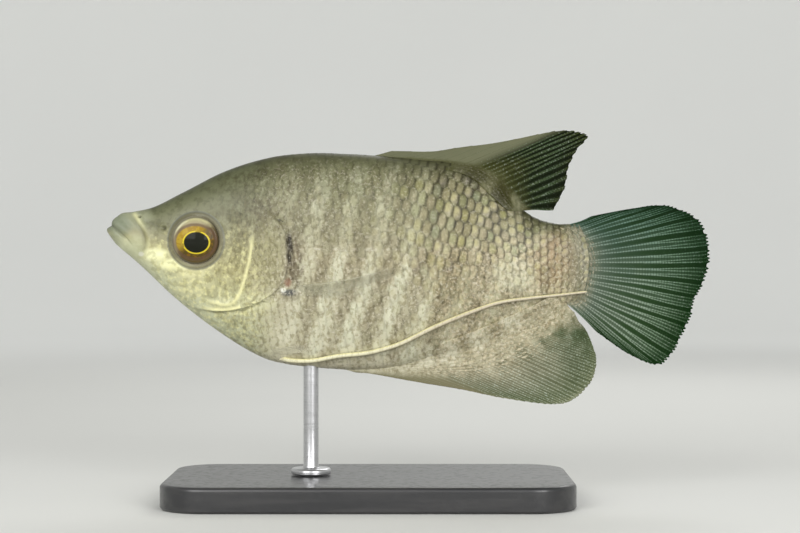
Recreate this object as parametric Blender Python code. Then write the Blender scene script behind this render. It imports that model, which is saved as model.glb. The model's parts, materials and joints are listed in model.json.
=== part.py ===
"""A life-size model of a young giant gourami that swims to -X, held by a plain display stand.

Sizes are in millimetres and become metres as each mesh is made. X runs from the snout to the tail, Z is
up, Z = 0 is the surface that the stand rests on, and the left side of the fish faces -Y.
"""

import math

import bmesh
import bpy
import numpy as np
from mathutils import Matrix, Vector

MM = 0.001
GAP = 0.3

# Lines of the body in side view, as (x, z), from the tip of the snout to the root of the tail fin.
SNOUT = (-60.0, 53.8)
NOSE_LENGTH = 1.8
BODY_END = 33.5
TAIL_BOW_START = 27.0
TAIL_BOW = 2.0
BACK_LINE = [
    (-60.2, 54.2), (-59.5, 54.7), (-58.9, 55.6), (-58.4, 56.3), (-57.6, 56.9), (-55.0, 57.4),
    (-51.6, 58.1), (-45.1, 61.2), (-36.8, 65.4), (-28.0, 68.1), (-20.0, 69.0), (-11.0, 68.8),
    (2.0, 67.7), (10.0, 66.8), (15.5, 64.6), (19.5, 60.6), (23.5, 57.0), (28.5, 55.1), (35.5, 55.3),
]
BELLY_LINE = [
    (-60.2, 52.4), (-58.4, 50.9), (-53.9, 47.1), (-46.8, 40.4), (-40.0, 35.0), (-34.7, 31.4),
    (-31.4, 29.5), (-28.1, 28.0), (-24.8, 27.2), (-18.0, 26.4), (-12.0, 26.0), (-4.0, 26.4),
    (6.0, 28.7), (16.0, 32.3), (26.0, 36.8), (31.0, 38.8), (35.5, 39.6),
]
# Half the width at the widest level, and how high that level lies between belly and back.
HALF_WIDTH = [
    (-60.2, 1.5), (-57.5, 2.2), (-53.0, 3.3), (-47.0, 4.8), (-42.0, 5.7), (-34.0, 6.9), (-26.0, 7.9),
    (-16.0, 8.3), (-4.0, 7.8), (8.0, 6.4), (18.0, 4.7), (27.0, 3.1), (35.5, 1.6),
]
WIDEST_SHARE = [(-60.2, 0.40), (-45.0, 0.50), (-30.0, 0.53), (0.0, 0.57), (20.0, 0.53), (35.5, 0.50)]
# A section is an ellipse at 1, fuller below that and more like a lens above it.
BACK_POWER = [(-60.2, 0.80), (-45.0, 0.80), (-28.0, 0.95), (0.0, 1.02), (35.5, 1.00)]
BELLY_POWER = [(-60.2, 0.85), (-45.0, 1.00), (-28.0, 0.95), (-10.0, 1.05), (10.0, 1.35), (35.5, 1.10)]

# The cuts that part the body, as lines in side view that reach past it at both ends.
GILL_CUT = [
    (-28.2, 76.0), (-28.2, 58.7), (-27.4, 52.7), (-27.0, 47.8), (-27.8, 42.8), (-30.1, 37.8),
    (-32.7, 32.8), (-34.5, 24.0),
]
TAIL_CUT = [(24.4, 68.0), (24.9, 47.0), (24.4, 28.0)]
JAW_CUT = [
    (-63.0, 55.5), (-59.1, 54.6), (-57.8, 53.4), (-56.2, 51.9), (-55.0, 50.3), (-53.7, 48.2),
    (-53.0, 45.4), (-52.8, 40.0),
]
MOUTH_LINE = JAW_CUT[1:4]
LIP_OFFSET = 0.9
LIP_SPREAD = 0.5
LIP_HEIGHT = 0.34
LIP_FADE = 0.6

# The gill cover, as pairs of its front and rear edge in side view, from the top down.
GILL_PAIRS = [
    ((-30.9, 54.9), (-28.2, 57.5)), ((-31.1, 52.1), (-25.0, 54.1)), ((-31.5, 49.0), (-24.1, 49.8)),
    ((-32.1, 45.8), (-24.4, 45.4)), ((-33.3, 42.6), (-26.4, 41.6)), ((-35.7, 40.4), (-30.7, 39.0)),
    ((-38.9, 39.4), (-35.7, 37.7)), ((-41.9, 39.1), (-40.3, 37.8)),
]
GILL_DEPTH = 1.2
GILL_STEP_FRONT = 0.1
GILL_STEP_REAR = 0.5

EYE_CENTRE = (-42.5, 3.9, 51.7)
EYE_RADII = (5.1, 2.75, 5.1)
NOSTRILS = [((-50.0, 55.6), 0.55), ((-53.6, 56.1), 0.4)]

# Fin rays, as pairs of root and tip in side view. The sheets between them bear one ridge for each ray.
DORSAL_SPINES = [
    ((-9.5, 68.1), (-3.5, 69.3)), ((-3.5, 67.9), (3.7, 69.5)), ((1.1, 67.6), (9.05, 70.0)),
    ((5.5, 67.3), (16.2, 71.0)), ((9.5, 66.5), (25.1, 72.9)),
]
DORSAL_RAYS = [
    ((10.6, 66.5), (26.2, 72.9)), ((12.8, 65.8), (31.1, 73.5)), ((14.6, 64.9), (33.9, 73.4)),
    ((16.0, 63.8), (35.5, 72.2)), ((17.6, 62.3), (33.3, 69.6)), ((19.4, 60.5), (31.7, 66.1)),
    ((21.0, 58.9), (30.9, 62.1)), ((22.6, 57.6), (28.6, 57.8)),
]
ANAL_SPINES = [
    ((-16.4, 26.9), (-9.5, 25.5)), ((-12.2, 26.9), (-1.9, 24.2)), ((-7.9, 26.9), (5.0, 22.9)),
    ((-3.5, 27.1), (11.6, 21.7)), ((0.9, 27.7), (18.6, 20.35)),
]
ANAL_RAYS = [
    ((1.7, 27.8), (20.0, 20.2)), ((6.1, 28.9), (28.2, 19.0)), ((11.0, 30.6), (32.7, 20.1)),
    ((16.0, 32.6), (36.3, 23.9)), ((19.6, 34.2), (37.2, 27.7)), ((23.2, 35.8), (36.5, 30.8)),
    ((27.0, 37.3), (35.3, 33.5)), ((29.6, 38.4), (33.6, 35.6)), ((31.2, 39.0), (32.5, 37.2)),
]
TAIL_RAYS = [
    ((31.2, 54.7), (36.4, 56.4)), ((31.6, 53.9), (44.0, 58.1)), ((32.0, 52.9), (49.9, 58.9)),
    ((32.5, 51.6), (54.6, 57.7)), ((32.9, 50.2), (58.2, 55.5)), ((33.3, 48.6), (59.8, 51.7)),
    ((33.4, 47.0), (59.9, 47.4)), ((33.4, 45.6), (58.6, 43.2)), ((33.3, 44.3), (56.8, 40.0)),
    ((33.1, 43.0), (56.0, 36.2)), ((32.9, 42.0), (54.2, 32.8)), ((32.7, 41.1), (52.4, 29.3)),
    ((32.4, 40.2), (49.3, 26.7)), ((32.1, 39.4), (43.9, 28.9)), ((31.8, 38.7), (37.7, 33.4)),
]
TAIL_SWAY = 1.0
# The pectoral fins, as (x, y, z) on the right side; the left side mirrors them.
PECTORAL_RAYS = [
    ((-24.3, 6.6, 42.8), (-1.5, 18.5, 46.8)), ((-24.2, 6.6, 42.1), (-0.3, 15.8, 46.2)),
    ((-24.1, 6.6, 41.4), (-2.5, 12.8, 44.9)), ((-24.1, 6.6, 40.8), (-7.5, 11.0, 42.9)),
]
PECTORAL_SAG = 2.0
PELVIC_LIFT = 1.0
PELVIC_RAYS = [
    ((-27.4, 30.3), (-20.6, 31.1)), ((-27.2, 29.8), (-19.6, 30.3)), ((-27.0, 29.3), (-20.4, 29.6)),
]
FILAMENT_LINE = [
    (-26.6, 28.6), (-24.5, 28.1), (-19.2, 27.9), (-14.4, 28.8), (-7.7, 29.6), (-2.4, 31.1), (4.9, 34.6),
    (12.0, 37.5), (16.9, 39.2), (24.2, 40.3), (30.0, 40.9), (35.2, 41.5),
]
FILAMENT_JOIN = 4.9
FILAMENT_RADII = [(-26.6, 0.55), (-10.0, 0.5), (5.0, 0.5), (20.0, 0.36), (35.2, 0.25)]

# The stand.
BASE_X = -8.0
BASE_HALF = (40.0, 22.0)
BASE_CORNER = 9.0
BASE_HEIGHT = 5.0
BASE_CHAMFER = 0.8
ROD_X = -19.6
ROD_RADIUS = 1.5
FOOT_RADIUS = 4.0
FOOT_HEIGHT = 1.2
ROD_TOP = 29.5


# Lines through named points.
def smooth_line(points):
    """A function of x whose curve runs smoothly through the points."""
    x, y = np.array(points, float).T
    slope = np.gradient(y, x)

    def value(at):
        at = np.clip(at, x[0], x[-1])
        i = np.clip(np.searchsorted(x, at) - 1, 0, len(x) - 2)
        step = x[i + 1] - x[i]
        t = (at - x[i]) / step
        rise = slope[i] * step * t * (1 - t) ** 2 - slope[i + 1] * step * t * t * (1 - t)
        return y[i] + (y[i + 1] - y[i]) * t * t * (3 - 2 * t) + rise

    return value


def along(points, share):
    """The points of a smooth curve through points, at shares of its run from 0 to 1."""
    points = np.array(points, float)
    steps = np.linspace(0, 1, len(points))
    return np.stack([smooth_line(list(zip(steps, c)))(np.asarray(share)) for c in points.T], axis=-1)


back = smooth_line(BACK_LINE)
belly = smooth_line(BELLY_LINE)
half_width = smooth_line(HALF_WIDTH)
widest_share = smooth_line(WIDEST_SHARE)
back_power = smooth_line(BACK_POWER)
belly_power = smooth_line(BELLY_POWER)
filament_radius = smooth_line(FILAMENT_RADII)


# The body's surface.
def nose_share(x):
    """0 at the tip of the snout, rising as a quarter circle to 1 behind the nose."""
    u = np.clip((x - SNOUT[0]) / NOSE_LENGTH, 0, 1)
    return np.sqrt(1 - (1 - u) ** 2)


def tail_bow(x):
    """How far the middle of a section is drawn back, so that the body ends in an arc."""
    return TAIL_BOW * np.clip((x - TAIL_BOW_START) / (BODY_END - TAIL_BOW_START), 0, 1) ** 2


def levels(x):
    """The back, belly and widest level of the section at x."""
    share = nose_share(x)
    top = SNOUT[1] + (back(x) - SNOUT[1]) * share
    low = SNOUT[1] + (belly(x) - SNOUT[1]) * share
    return top, low, low + (top - low) * widest_share(x)


def side_at(x, z):
    """How far the side of the body stands from the middle plane at a point of the side view."""
    x, z = np.asarray(x, float), np.asarray(z, float)
    section_x = x
    for _ in range(3):
        top, low, widest = levels(section_x)
        reach = np.where(z > widest, top - widest, widest - low)
        rise = np.clip(np.abs(z - widest) / reach, 0, 1)
        section_x = x - tail_bow(x) * (1 - rise ** 2)
    power = np.where(z > widest, back_power(section_x), belly_power(section_x))
    return half_width(section_x) * nose_share(section_x) * np.sqrt(1 - rise ** 2) ** power


def line_distance(x, z, line):
    """Signed distance of points in side view from a line, above it where positive, and how far along it."""
    best = np.full(np.shape(x), 1e9)
    signed, run, start = np.zeros(np.shape(x)), np.zeros(np.shape(x)), 0.0
    for (x0, z0), (x1, z1) in zip(line, line[1:]):
        length = math.hypot(x1 - x0, z1 - z0)
        dx, dz = (x1 - x0) / length, (z1 - z0) / length
        t = np.clip((x - x0) * dx + (z - z0) * dz, 0, length)
        off_x, off_z = x - x0 - t * dx, z - z0 - t * dz
        far = np.hypot(off_x, off_z)
        nearer = far < best
        side = np.where(dx * off_z - dz * off_x >= 0, 1, -1)
        best = np.where(nearer, far, best)
        signed = np.where(nearer, side * far, signed)
        run = np.where(nearer, start + t, run)
        start += length
    return signed, run / start


def lip_relief(x, z):
    """The swelling of the two lips beside the line of the mouth, which fades at its corner."""
    off, run = line_distance(x, z, MOUTH_LINE)
    roll = np.exp(-((np.abs(off) - LIP_OFFSET) / LIP_SPREAD) ** 2)
    return LIP_HEIGHT * roll * np.clip((1 - run) / LIP_FADE, 0, 1)


def stations():
    """Places of the body's sections, closest together on the snout."""
    nose = SNOUT[0] + NOSE_LENGTH * (1 - np.cos(np.linspace(0, math.pi / 2, 7)[1:]))
    jaws = np.arange(nose[-1] + 0.5, -54.5, 0.5)
    cheek = np.arange(jaws[-1] + 1.2, -34.0, 1.6)
    flank = np.linspace(cheek[-1] + 2.3, BODY_END, 28)
    return np.concatenate([nose, jaws, cheek, flank])


def body(name, around=28, grow=0.0):
    """The whole body as one closed shape, or one that is larger by grow on every side."""
    x = stations()
    top, low, widest = levels(x)
    angle = np.linspace(0, 2 * math.pi, around, endpoint=False) + math.pi / 2
    up, side = np.sin(angle), np.cos(angle)
    rise = np.where(up > 0, (top - widest)[:, None] * up, (widest - low)[:, None] * up)
    power = np.where(up > 0, back_power(x)[:, None], belly_power(x)[:, None])
    wide = (half_width(x) * nose_share(x))[:, None] * np.abs(side) ** power * np.sign(side)
    grid = np.stack([x[:, None] + tail_bow(x)[:, None] * side ** 2, -wide, widest[:, None] + rise], -1)
    out = outward(grid)
    grid = grid + out * (lip_relief(grid[..., 0], grid[..., 2]) + grow)[..., None]
    front = Vector((SNOUT[0] - grow, 0, SNOUT[1]))
    end = Vector((BODY_END + TAIL_BOW + grow, 0, widest[-1]))
    return closed_tube(name, grid, front, end)


def outward(grid):
    """The outward direction at each point of a grid that closes round a body."""
    run = np.gradient(grid, axis=0)
    ring = np.roll(grid, -1, axis=1) - np.roll(grid, 1, axis=1)
    normal = np.cross(run, ring)
    return normal / np.maximum(np.linalg.norm(normal, axis=-1), 1e-9)[..., None]


# Meshes.
def mesh_object(name, points, faces):
    """A closed object from points in millimetres, with its faces turned outwards."""
    mesh = bpy.data.meshes.new(name)
    mesh.from_pydata([Vector(p) * MM for p in points], [], faces)
    shape = bmesh.new()
    shape.from_mesh(mesh)
    return shape_object(name, shape, mesh)


def shape_object(name, shape, mesh=None):
    """The object of a closed bmesh, with its faces turned outwards."""
    if shape.calc_volume(signed=True) < 0:
        bmesh.ops.reverse_faces(shape, faces=shape.faces)
    mesh = mesh or bpy.data.meshes.new(name)
    shape.to_mesh(mesh)
    shape.free()
    thing = bpy.data.objects.new(name, mesh)
    bpy.context.scene.collection.objects.link(thing)
    return thing


def closed_tube(name, grid, front, end):
    """A closed object from rings of points, drawn together to one point at each end."""
    rows, around = grid.shape[:2]
    points = [tuple(p) for p in grid.reshape(-1, 3)] + [tuple(front), tuple(end)]
    faces = []
    for j in range(around):
        k = (j + 1) % around
        faces.append((rows * around, k, j))
        faces.append((rows * around + 1, (rows - 1) * around + j, (rows - 1) * around + k))
        for i in range(rows - 1):
            a, b = i * around + j, i * around + k
            faces += [(a, b, b + around), (a, b + around, a + around)]
    return mesh_object(name, points, faces)


def closed_sheet(name, outer, inner):
    """A closed object from two grids that face each other, with the same triangles on both."""
    rows, columns = outer.shape[:2]
    points = [tuple(p) for p in np.concatenate([outer.reshape(-1, 3), inner.reshape(-1, 3)])]
    half = rows * columns
    faces = []
    for i in range(rows - 1):
        for j in range(columns - 1):
            a, b = i * columns + j, i * columns + j + 1
            c, d = b + columns, a + columns
            faces += [(a, b, c), (a, c, d), (c + half, b + half, a + half), (d + half, c + half, a + half)]
    top_row = [(0, j) for j in range(columns)]
    last_column = [(i, columns - 1) for i in range(1, rows)]
    last_row = [(rows - 1, j) for j in range(columns - 2, -1, -1)]
    first_column = [(i, 0) for i in range(rows - 2, 0, -1)]
    rim = [i * columns + j for i, j in top_row + last_column + last_row + first_column]
    for a, b in zip(rim, rim[1:] + rim[:1]):
        faces += [(b, a, a + half), (b, a + half, b + half)]
    return mesh_object(name, points, faces)


def apply_modifiers(thing):
    """Makes an object's modifiers, or a curve's bevel, part of its mesh."""
    graph = bpy.context.evaluated_depsgraph_get()
    mesh = bpy.data.meshes.new_from_object(thing.evaluated_get(graph))
    name = thing.name
    bpy.data.objects.remove(thing)
    mesh.name = name
    solid = bpy.data.objects.new(name, mesh)
    bpy.context.scene.collection.objects.link(solid)
    return solid


def boolean(thing, tools):
    """Cuts the tools from a thing by one Boolean, and removes them."""
    group = bpy.data.collections.new("tools")
    bpy.context.scene.collection.children.link(group)
    for tool in tools:
        group.objects.link(tool)
    modifier = thing.modifiers.new("cut", "BOOLEAN")
    modifier.operation = "DIFFERENCE"
    modifier.operand_type = "COLLECTION"
    modifier.collection = group
    modifier.solver = "EXACT"
    solid = apply_modifiers(thing)
    for tool in tools:
        bpy.data.objects.remove(tool)
    bpy.data.collections.remove(group)
    return solid


def pieces_of(thing, count):
    """The largest closed surfaces of an object, which is removed, from the front to the back."""
    shape = bmesh.new()
    shape.from_mesh(thing.data)
    bmesh.ops.triangulate(shape, faces=shape.faces)
    left, found = set(shape.verts), []
    while left:
        group, edge_of_group = set(), [left.pop()]
        while edge_of_group:
            vertex = edge_of_group.pop()
            group.add(vertex)
            near = {e.other_vert(vertex) for e in vertex.link_edges} & left
            left -= near
            edge_of_group += near
        order = {v: i for i, v in enumerate(group)}
        faces = {f for v in group for f in v.link_faces}
        points = [tuple(v.co / MM) for v in group]
        found.append((points, [tuple(order[v] for v in f.verts) for f in faces]))
    shape.free()
    bpy.data.objects.remove(thing)
    found.sort(key=lambda piece: -volume_of(*piece))
    return sorted(found[:count], key=lambda piece: np.mean([p[0] for p in piece[0]]))


def volume_of(points, faces):
    corners = np.array(points)[np.array(faces)]
    return abs(np.einsum("ij,ij->i", corners[:, 0], np.cross(corners[:, 1], corners[:, 2])).sum()) / 6


def keep_largest(name, thing):
    """The largest closed surface of an object, as an object of that name."""
    points, faces = pieces_of(thing, 1)[0]
    return mesh_object(name, points, faces)


def ribbon(line, half_span=14.0):
    """A cutter as thin as the gap, along a line in side view and right through the body."""
    line = np.array(line, float)
    run = np.gradient(line, axis=0)
    normal = np.stack([-run[:, 1], run[:, 0]], -1) / np.linalg.norm(run, axis=1)[:, None]
    sides = []
    for y in (-half_span, half_span):
        for edge in (line + normal * GAP / 2, line - normal * GAP / 2):
            sides.append(np.stack([edge[:, 0], np.full(len(line), y), edge[:, 1]], -1))
    left, left_low, right, right_low = sides
    return closed_sheet("ribbon", np.stack([left, right], 0), np.stack([left_low, right_low], 0))


def ellipsoid(name, centre, radii, around=20, rings=12):
    """A ball stretched along the axes, with its poles on the left and right."""
    size = Matrix.Diagonal((*(r * MM for r in radii), 1))
    place = Matrix.Translation(Vector(centre) * MM) @ size @ Matrix.Rotation(math.pi / 2, 4, "X")
    shape = bmesh.new()
    bmesh.ops.create_uvsphere(shape, u_segments=around, v_segments=rings, radius=1, matrix=place)
    return shape_object(name, shape)


# Fins.
def fin(name, pairs, rays, rows, root_half, edge_half, ridge, sag=None, sway=0.0, notch=0.012, sink=1.6):
    """A thin sheet between the roots and tips of guide rays, with one ridge for each of its rays.

    Odd columns of the sheet are membrane and end short of the rays, so the edge is scalloped. The
    roots are carried on into the body by sink, to be cut to its surface afterwards.
    """
    share = np.linspace(0, 1, 2 * rays - 1)
    root = along([in_space(pair[0]) for pair in pairs], share)
    tip = along([in_space(pair[1]) for pair in pairs], share)
    way = tip - root
    length = np.linalg.norm(way, axis=1)[:, None]
    root = root - way / length * sink
    middle = (root + tip) / 2 + (0 if sag is None else np.array(sag) * length / length.max())

    def grid_at(v):
        v = v[..., None]
        grid = (1 - v) ** 2 * root + 2 * v * (1 - v) * middle + v * v * tip
        grid[..., 1] += sway * np.sin(share * 2 * math.pi) * v[..., 0] ** 2
        return grid

    v = np.repeat(np.linspace(0, 1, rows)[:, None], len(share), axis=1)
    full = grid_at(v)
    normal = np.cross(np.gradient(full, axis=0), np.gradient(full, axis=1))
    normal /= np.linalg.norm(normal, axis=-1)[..., None]
    is_ray = np.arange(len(share)) % 2 == 0
    grid = grid_at(v * np.where(is_ray, 1, 1 - notch))
    half = root_half + (edge_half - root_half) * v + ridge * is_ray * (1 - 0.6 * v)
    return closed_sheet(name, grid + normal * half[..., None], grid - normal * half[..., None])


def in_space(point):
    """A point of the side view, on the middle plane, or a point in space as it is."""
    return point if len(point) == 3 else (point[0], 0.0, point[1])


def on_flank(point, side, lift):
    """A point of the side view, laid on one side of the body at the height of lift."""
    x, z = point
    return x, side * (float(side_at(x, z)) + lift), z


def gill_cover(name, side, grow=0.0):
    """A curved plate along the cheek's rear edge, or its cutter, larger by grow and open outwards."""
    share = np.linspace(0, 1, 15)
    front = along([pair[0] for pair in GILL_PAIRS], share)
    rear = along([pair[1] for pair in GILL_PAIRS], share)
    way = (rear - front) / np.linalg.norm(rear - front, axis=1)[:, None]
    front, rear = front - way * grow, rear + way * grow
    ends = np.zeros((len(share), 2))
    ends[0], ends[-1] = (-0.7 * grow, 0.7 * grow), (-0.7 * grow, -0.5 * grow)
    across = np.linspace(0, 1, 6)[:, None, None]
    flat = front * (1 - across) + rear * across + ends
    skin = side_at(flat[..., 0], flat[..., 1])
    step = GILL_STEP_FRONT + (GILL_STEP_REAR - GILL_STEP_FRONT) * across[..., 0] ** 2
    outer = skin + (6.0 if grow else step)
    inner = skin - GILL_DEPTH - grow
    grids = [np.stack([flat[..., 0], side * y, flat[..., 1]], -1) for y in (outer, inner)]
    return closed_sheet(name, *grids)


def filament(name, side, start, end, points=22):
    """One length of the thread of a pelvic fin, laid along the flank."""
    line = smooth_line(FILAMENT_LINE)
    x = np.linspace(start, end, points)
    z, radius = line(x), filament_radius(x)
    curve = bpy.data.curves.new(name, "CURVE")
    curve.dimensions = "3D"
    curve.bevel_depth = MM
    curve.bevel_resolution = 2
    curve.use_fill_caps = True
    spline = curve.splines.new("POLY")
    spline.points.add(points - 1)
    lift = np.where(x < FILAMENT_LINE[1][0], -1.0 - radius, GAP + 0.1 + radius)
    y = side * (side_at(x, z) + lift)
    for i, point in enumerate(spline.points):
        point.co = (x[i] * MM, y[i] * MM, z[i] * MM, 1)
        point.radius = radius[i]
    thing = bpy.data.objects.new(name, curve)
    bpy.context.scene.collection.objects.link(thing)
    return apply_modifiers(thing)


# The stand.
def stand_base():
    """A slab with rounded corners and a broken upper edge."""
    size = Matrix.Diagonal((*(2 * h * MM for h in BASE_HALF), BASE_HEIGHT * MM, 1))
    place = Matrix.Translation(Vector((BASE_X, 0, BASE_HEIGHT / 2)) * MM)
    shape = bmesh.new()
    bmesh.ops.create_cube(shape, size=1, matrix=place @ size)
    upright = [e for e in shape.edges if e.verts[0].co.xy == e.verts[1].co.xy]
    bmesh.ops.bevel(shape, geom=upright, offset=BASE_CORNER * MM, segments=8, profile=0.5, affect="EDGES")
    top = [e for e in shape.edges if min(v.co.z for v in e.verts) > BASE_HEIGHT * MM * 0.99]
    bmesh.ops.bevel(shape, geom=top, offset=BASE_CHAMFER * MM, segments=2, profile=0.5, affect="EDGES")
    return shape_object("stand_base", shape)


def stand_rod():
    """A turned rod with a round foot, which runs on into the belly to be cut to its surface."""
    foot = BASE_HEIGHT + GAP
    profile = [
        (0, foot), (FOOT_RADIUS, foot), (FOOT_RADIUS, foot + FOOT_HEIGHT / 2),
        (FOOT_RADIUS - FOOT_HEIGHT / 2, foot + FOOT_HEIGHT), (ROD_RADIUS, foot + FOOT_HEIGHT),
        (ROD_RADIUS, ROD_TOP), (0, ROD_TOP),
    ]
    shape = bmesh.new()
    corners = [shape.verts.new(Vector((ROD_X + r, 0, z)) * MM) for r, z in profile]
    edges = [shape.edges.new(pair) for pair in zip(corners, corners[1:])]
    centre = Vector((ROD_X, 0, 0)) * MM
    bmesh.ops.spin(shape, geom=corners + edges, cent=centre, axis=(0, 0, 1), angle=2 * math.pi, steps=20)
    bmesh.ops.remove_doubles(shape, verts=shape.verts, dist=0.001 * MM)
    return shape_object("stand_rod", shape)


# Materials.
def material(name, colour, roughness, metallic=0.0):
    made = bpy.data.materials.new(name)
    made.use_nodes = True
    shader = made.node_tree.nodes["Principled BSDF"]
    shader.inputs["Base Color"].default_value = (*colour, 1)
    shader.inputs["Roughness"].default_value = roughness
    shader.inputs["Metallic"].default_value = metallic
    return made


SKIN = material("silver_grey_skin", (0.43, 0.42, 0.33), 0.4, 0.1)
HEAD_SKIN = material("pale_head_skin", (0.48, 0.49, 0.37), 0.4, 0.1)
FIN = material("grey_fin", (0.24, 0.29, 0.25), 0.5)
THREAD = material("cream_thread", (0.72, 0.68, 0.52), 0.5)
EYE = material("amber_eye", (0.45, 0.28, 0.03), 0.1)
BASE = material("dark_base", (0.03, 0.03, 0.03), 0.4)
ROD = material("steel_rod", (0.5, 0.5, 0.5), 0.3, 1.0)


def dress(thing, look):
    """Gives an object its material and smooth faces with sharp edges where it turns."""
    thing.data.materials.clear()
    thing.data.materials.append(look)
    thing.data.shade_smooth()
    thing.data.set_sharp_from_angle(angle=math.radians(40))


# The build.
def build_body():
    """Head, lower jaw, trunk and tail stalk, parted from one body, with the eyes and gill covers let in."""
    cutters = [ribbon(GILL_CUT), ribbon(TAIL_CUT), ribbon(JAW_CUT)]
    for side, word in ((-1, "left"), (1, "right")):
        centre = (EYE_CENTRE[0], side * EYE_CENTRE[1], EYE_CENTRE[2])
        dress(ellipsoid(f"eye_{word}", centre, EYE_RADII), EYE)
        cutters.append(ellipsoid("socket", centre, [r + GAP for r in EYE_RADII]))
        dress(gill_cover(f"gill_cover_{word}", side), HEAD_SKIN)
        cutters.append(gill_cover("gill_recess", side, grow=GAP))
        for (x, z), radius in NOSTRILS:
            pit = on_flank((x, z), side, 0)
            cutters.append(ellipsoid("nostril", pit, (radius, 2 * radius, 0.8 * radius), 8, 6))
    whole = boolean(body("whole"), cutters)
    names = ("lower_jaw", "head", "trunk", "tail_stalk")
    looks = (HEAD_SKIN, HEAD_SKIN, SKIN, SKIN)
    for name, look, (points, faces) in zip(names, looks, pieces_of(whole, len(names))):
        dress(mesh_object(name, points, faces), look)


def rooted(name, thing, look, blockers=()):
    """Cuts a fin, thread or rod to the body's surface, with the gap between."""
    cut = boolean(thing, [body("clear_body", grow=GAP), *blockers])
    dress(keep_largest(name, cut), look)


def build_fins():
    """The dorsal, anal and tail fins in the middle plane, and the paired fins on each side."""
    folded = dict(edge_half=0.3, ridge=0.12, notch=0)
    spread = dict(edge_half=0.25, ridge=0.2)
    middle_fins = (
        fin("dorsal_spines", DORSAL_SPINES, rays=10, rows=5, root_half=0.5, **folded),
        fin("dorsal_rays", DORSAL_RAYS, rays=12, rows=7, root_half=0.45, **spread),
        fin("anal_spines", ANAL_SPINES, rays=10, rows=6, root_half=0.5, **folded),
        fin("anal_rays", ANAL_RAYS, rays=20, rows=8, root_half=0.6, **spread),
        fin("tail_fin", TAIL_RAYS, rays=26, rows=9, root_half=0.7, sway=TAIL_SWAY, **spread),
    )
    for sheet in middle_fins:
        rooted(sheet.name, sheet, FIN)
    for side, word in ((-1, "left"), (1, "right")):
        pectoral = [[(x, side * y, z) for x, y, z in pair] for pair in PECTORAL_RAYS]
        small = dict(root_half=0.42, edge_half=0.26, ridge=0.12, sink=0.4)
        sheet = fin("pectoral", pectoral, rays=10, rows=7, sag=(0, 0, -PECTORAL_SAG), **small)
        rooted(f"pectoral_fin_{word}", sheet, FIN, [gill_cover("clear_gill", side, grow=GAP)])
        pelvic = []
        for root, tip in PELVIC_RAYS:
            pelvic.append((on_flank(root, side, -GAP), on_flank(tip, side, PELVIC_LIFT)))
        rooted(f"pelvic_fin_{word}", fin("pelvic", pelvic, rays=4, rows=5, **small), FIN)
        front = filament("front", side, FILAMENT_LINE[0][0], FILAMENT_JOIN)
        rooted(f"pelvic_thread_{word}_front", front, THREAD)
        rear = filament("rear", side, FILAMENT_JOIN + GAP, FILAMENT_LINE[-1][0])
        rooted(f"pelvic_thread_{word}_rear", rear, THREAD)


def build_stand():
    dress(stand_base(), BASE)
    rooted("stand_rod", stand_rod(), ROD)


for old in list(bpy.data.objects):
    bpy.data.objects.remove(old)
build_body()
build_fins()
build_stand()
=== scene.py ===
# %% [markdown]
# # A young giant gourami on a display stand
# The real thing is a live fish about twelve centimetres long. Here it is a museum model at life size, which
# swims to the left over a flat base on one steel rod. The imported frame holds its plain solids. This lesson
# puts a finer piece in the place of each: one skin, a coat of scales, eyes, fins with branched rays, and
# threads. Lengths are in millimetres and become metres as each mesh is made.

# %% Load the frame
import json
import math

import bpy
import numpy as np
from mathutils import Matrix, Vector

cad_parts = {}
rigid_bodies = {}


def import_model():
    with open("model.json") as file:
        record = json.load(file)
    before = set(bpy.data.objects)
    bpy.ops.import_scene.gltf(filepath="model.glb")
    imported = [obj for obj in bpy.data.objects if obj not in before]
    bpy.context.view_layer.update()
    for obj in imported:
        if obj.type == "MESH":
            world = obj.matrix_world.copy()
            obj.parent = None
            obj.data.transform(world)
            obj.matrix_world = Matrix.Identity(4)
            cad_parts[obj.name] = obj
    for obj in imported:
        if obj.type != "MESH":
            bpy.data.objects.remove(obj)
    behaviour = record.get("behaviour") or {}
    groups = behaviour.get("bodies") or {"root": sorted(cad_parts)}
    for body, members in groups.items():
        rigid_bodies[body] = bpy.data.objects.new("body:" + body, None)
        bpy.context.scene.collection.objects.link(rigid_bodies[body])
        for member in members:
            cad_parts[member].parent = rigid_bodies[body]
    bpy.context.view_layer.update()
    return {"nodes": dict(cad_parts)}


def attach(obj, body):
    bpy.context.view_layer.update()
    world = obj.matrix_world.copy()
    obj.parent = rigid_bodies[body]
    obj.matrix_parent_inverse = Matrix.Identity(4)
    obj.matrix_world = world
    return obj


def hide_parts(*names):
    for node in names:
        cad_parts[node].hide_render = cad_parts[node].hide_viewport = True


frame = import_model()
MM = 0.001
print("nodes in the frame:", len(frame["nodes"]))

# %% [markdown]
# ## The camera
# The photograph looks straight at the left side of the fish. A long lens a little over three body lengths
# away gives the same flat view, and its distance follows from how many millimetres the picture spans.

# %% Camera
PICTURE_WIDTH = 159.2
PICTURE_CENTRE = (-1.9, 46.5)
LENS, SENSOR = 85.0, 36.0


def aim_camera():
    """A camera that sees the fish as the photograph does."""
    eye = bpy.data.cameras.new("camera")
    eye.lens, eye.sensor_width = LENS, SENSOR
    eye.clip_start, eye.clip_end = 0.01, 10
    camera = bpy.data.objects.new("camera", eye)
    bpy.context.scene.collection.objects.link(camera)
    distance = PICTURE_WIDTH * LENS / SENSOR
    camera.location = Vector((PICTURE_CENTRE[0], -distance, PICTURE_CENTRE[1])) * MM
    camera.rotation_euler = (math.pi / 2, 0, 0)
    bpy.context.scene.camera = camera
    print(f"camera {distance:.0f} mm away")


aim_camera()


def as_seen(across, side, middle):
    """Where a point looks to lie in the middle plane: what stands out to the side looks farther out."""
    return (across - middle) * (side * (SENSOR / (PICTURE_WIDTH * LENS)) + 1) + middle

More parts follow.
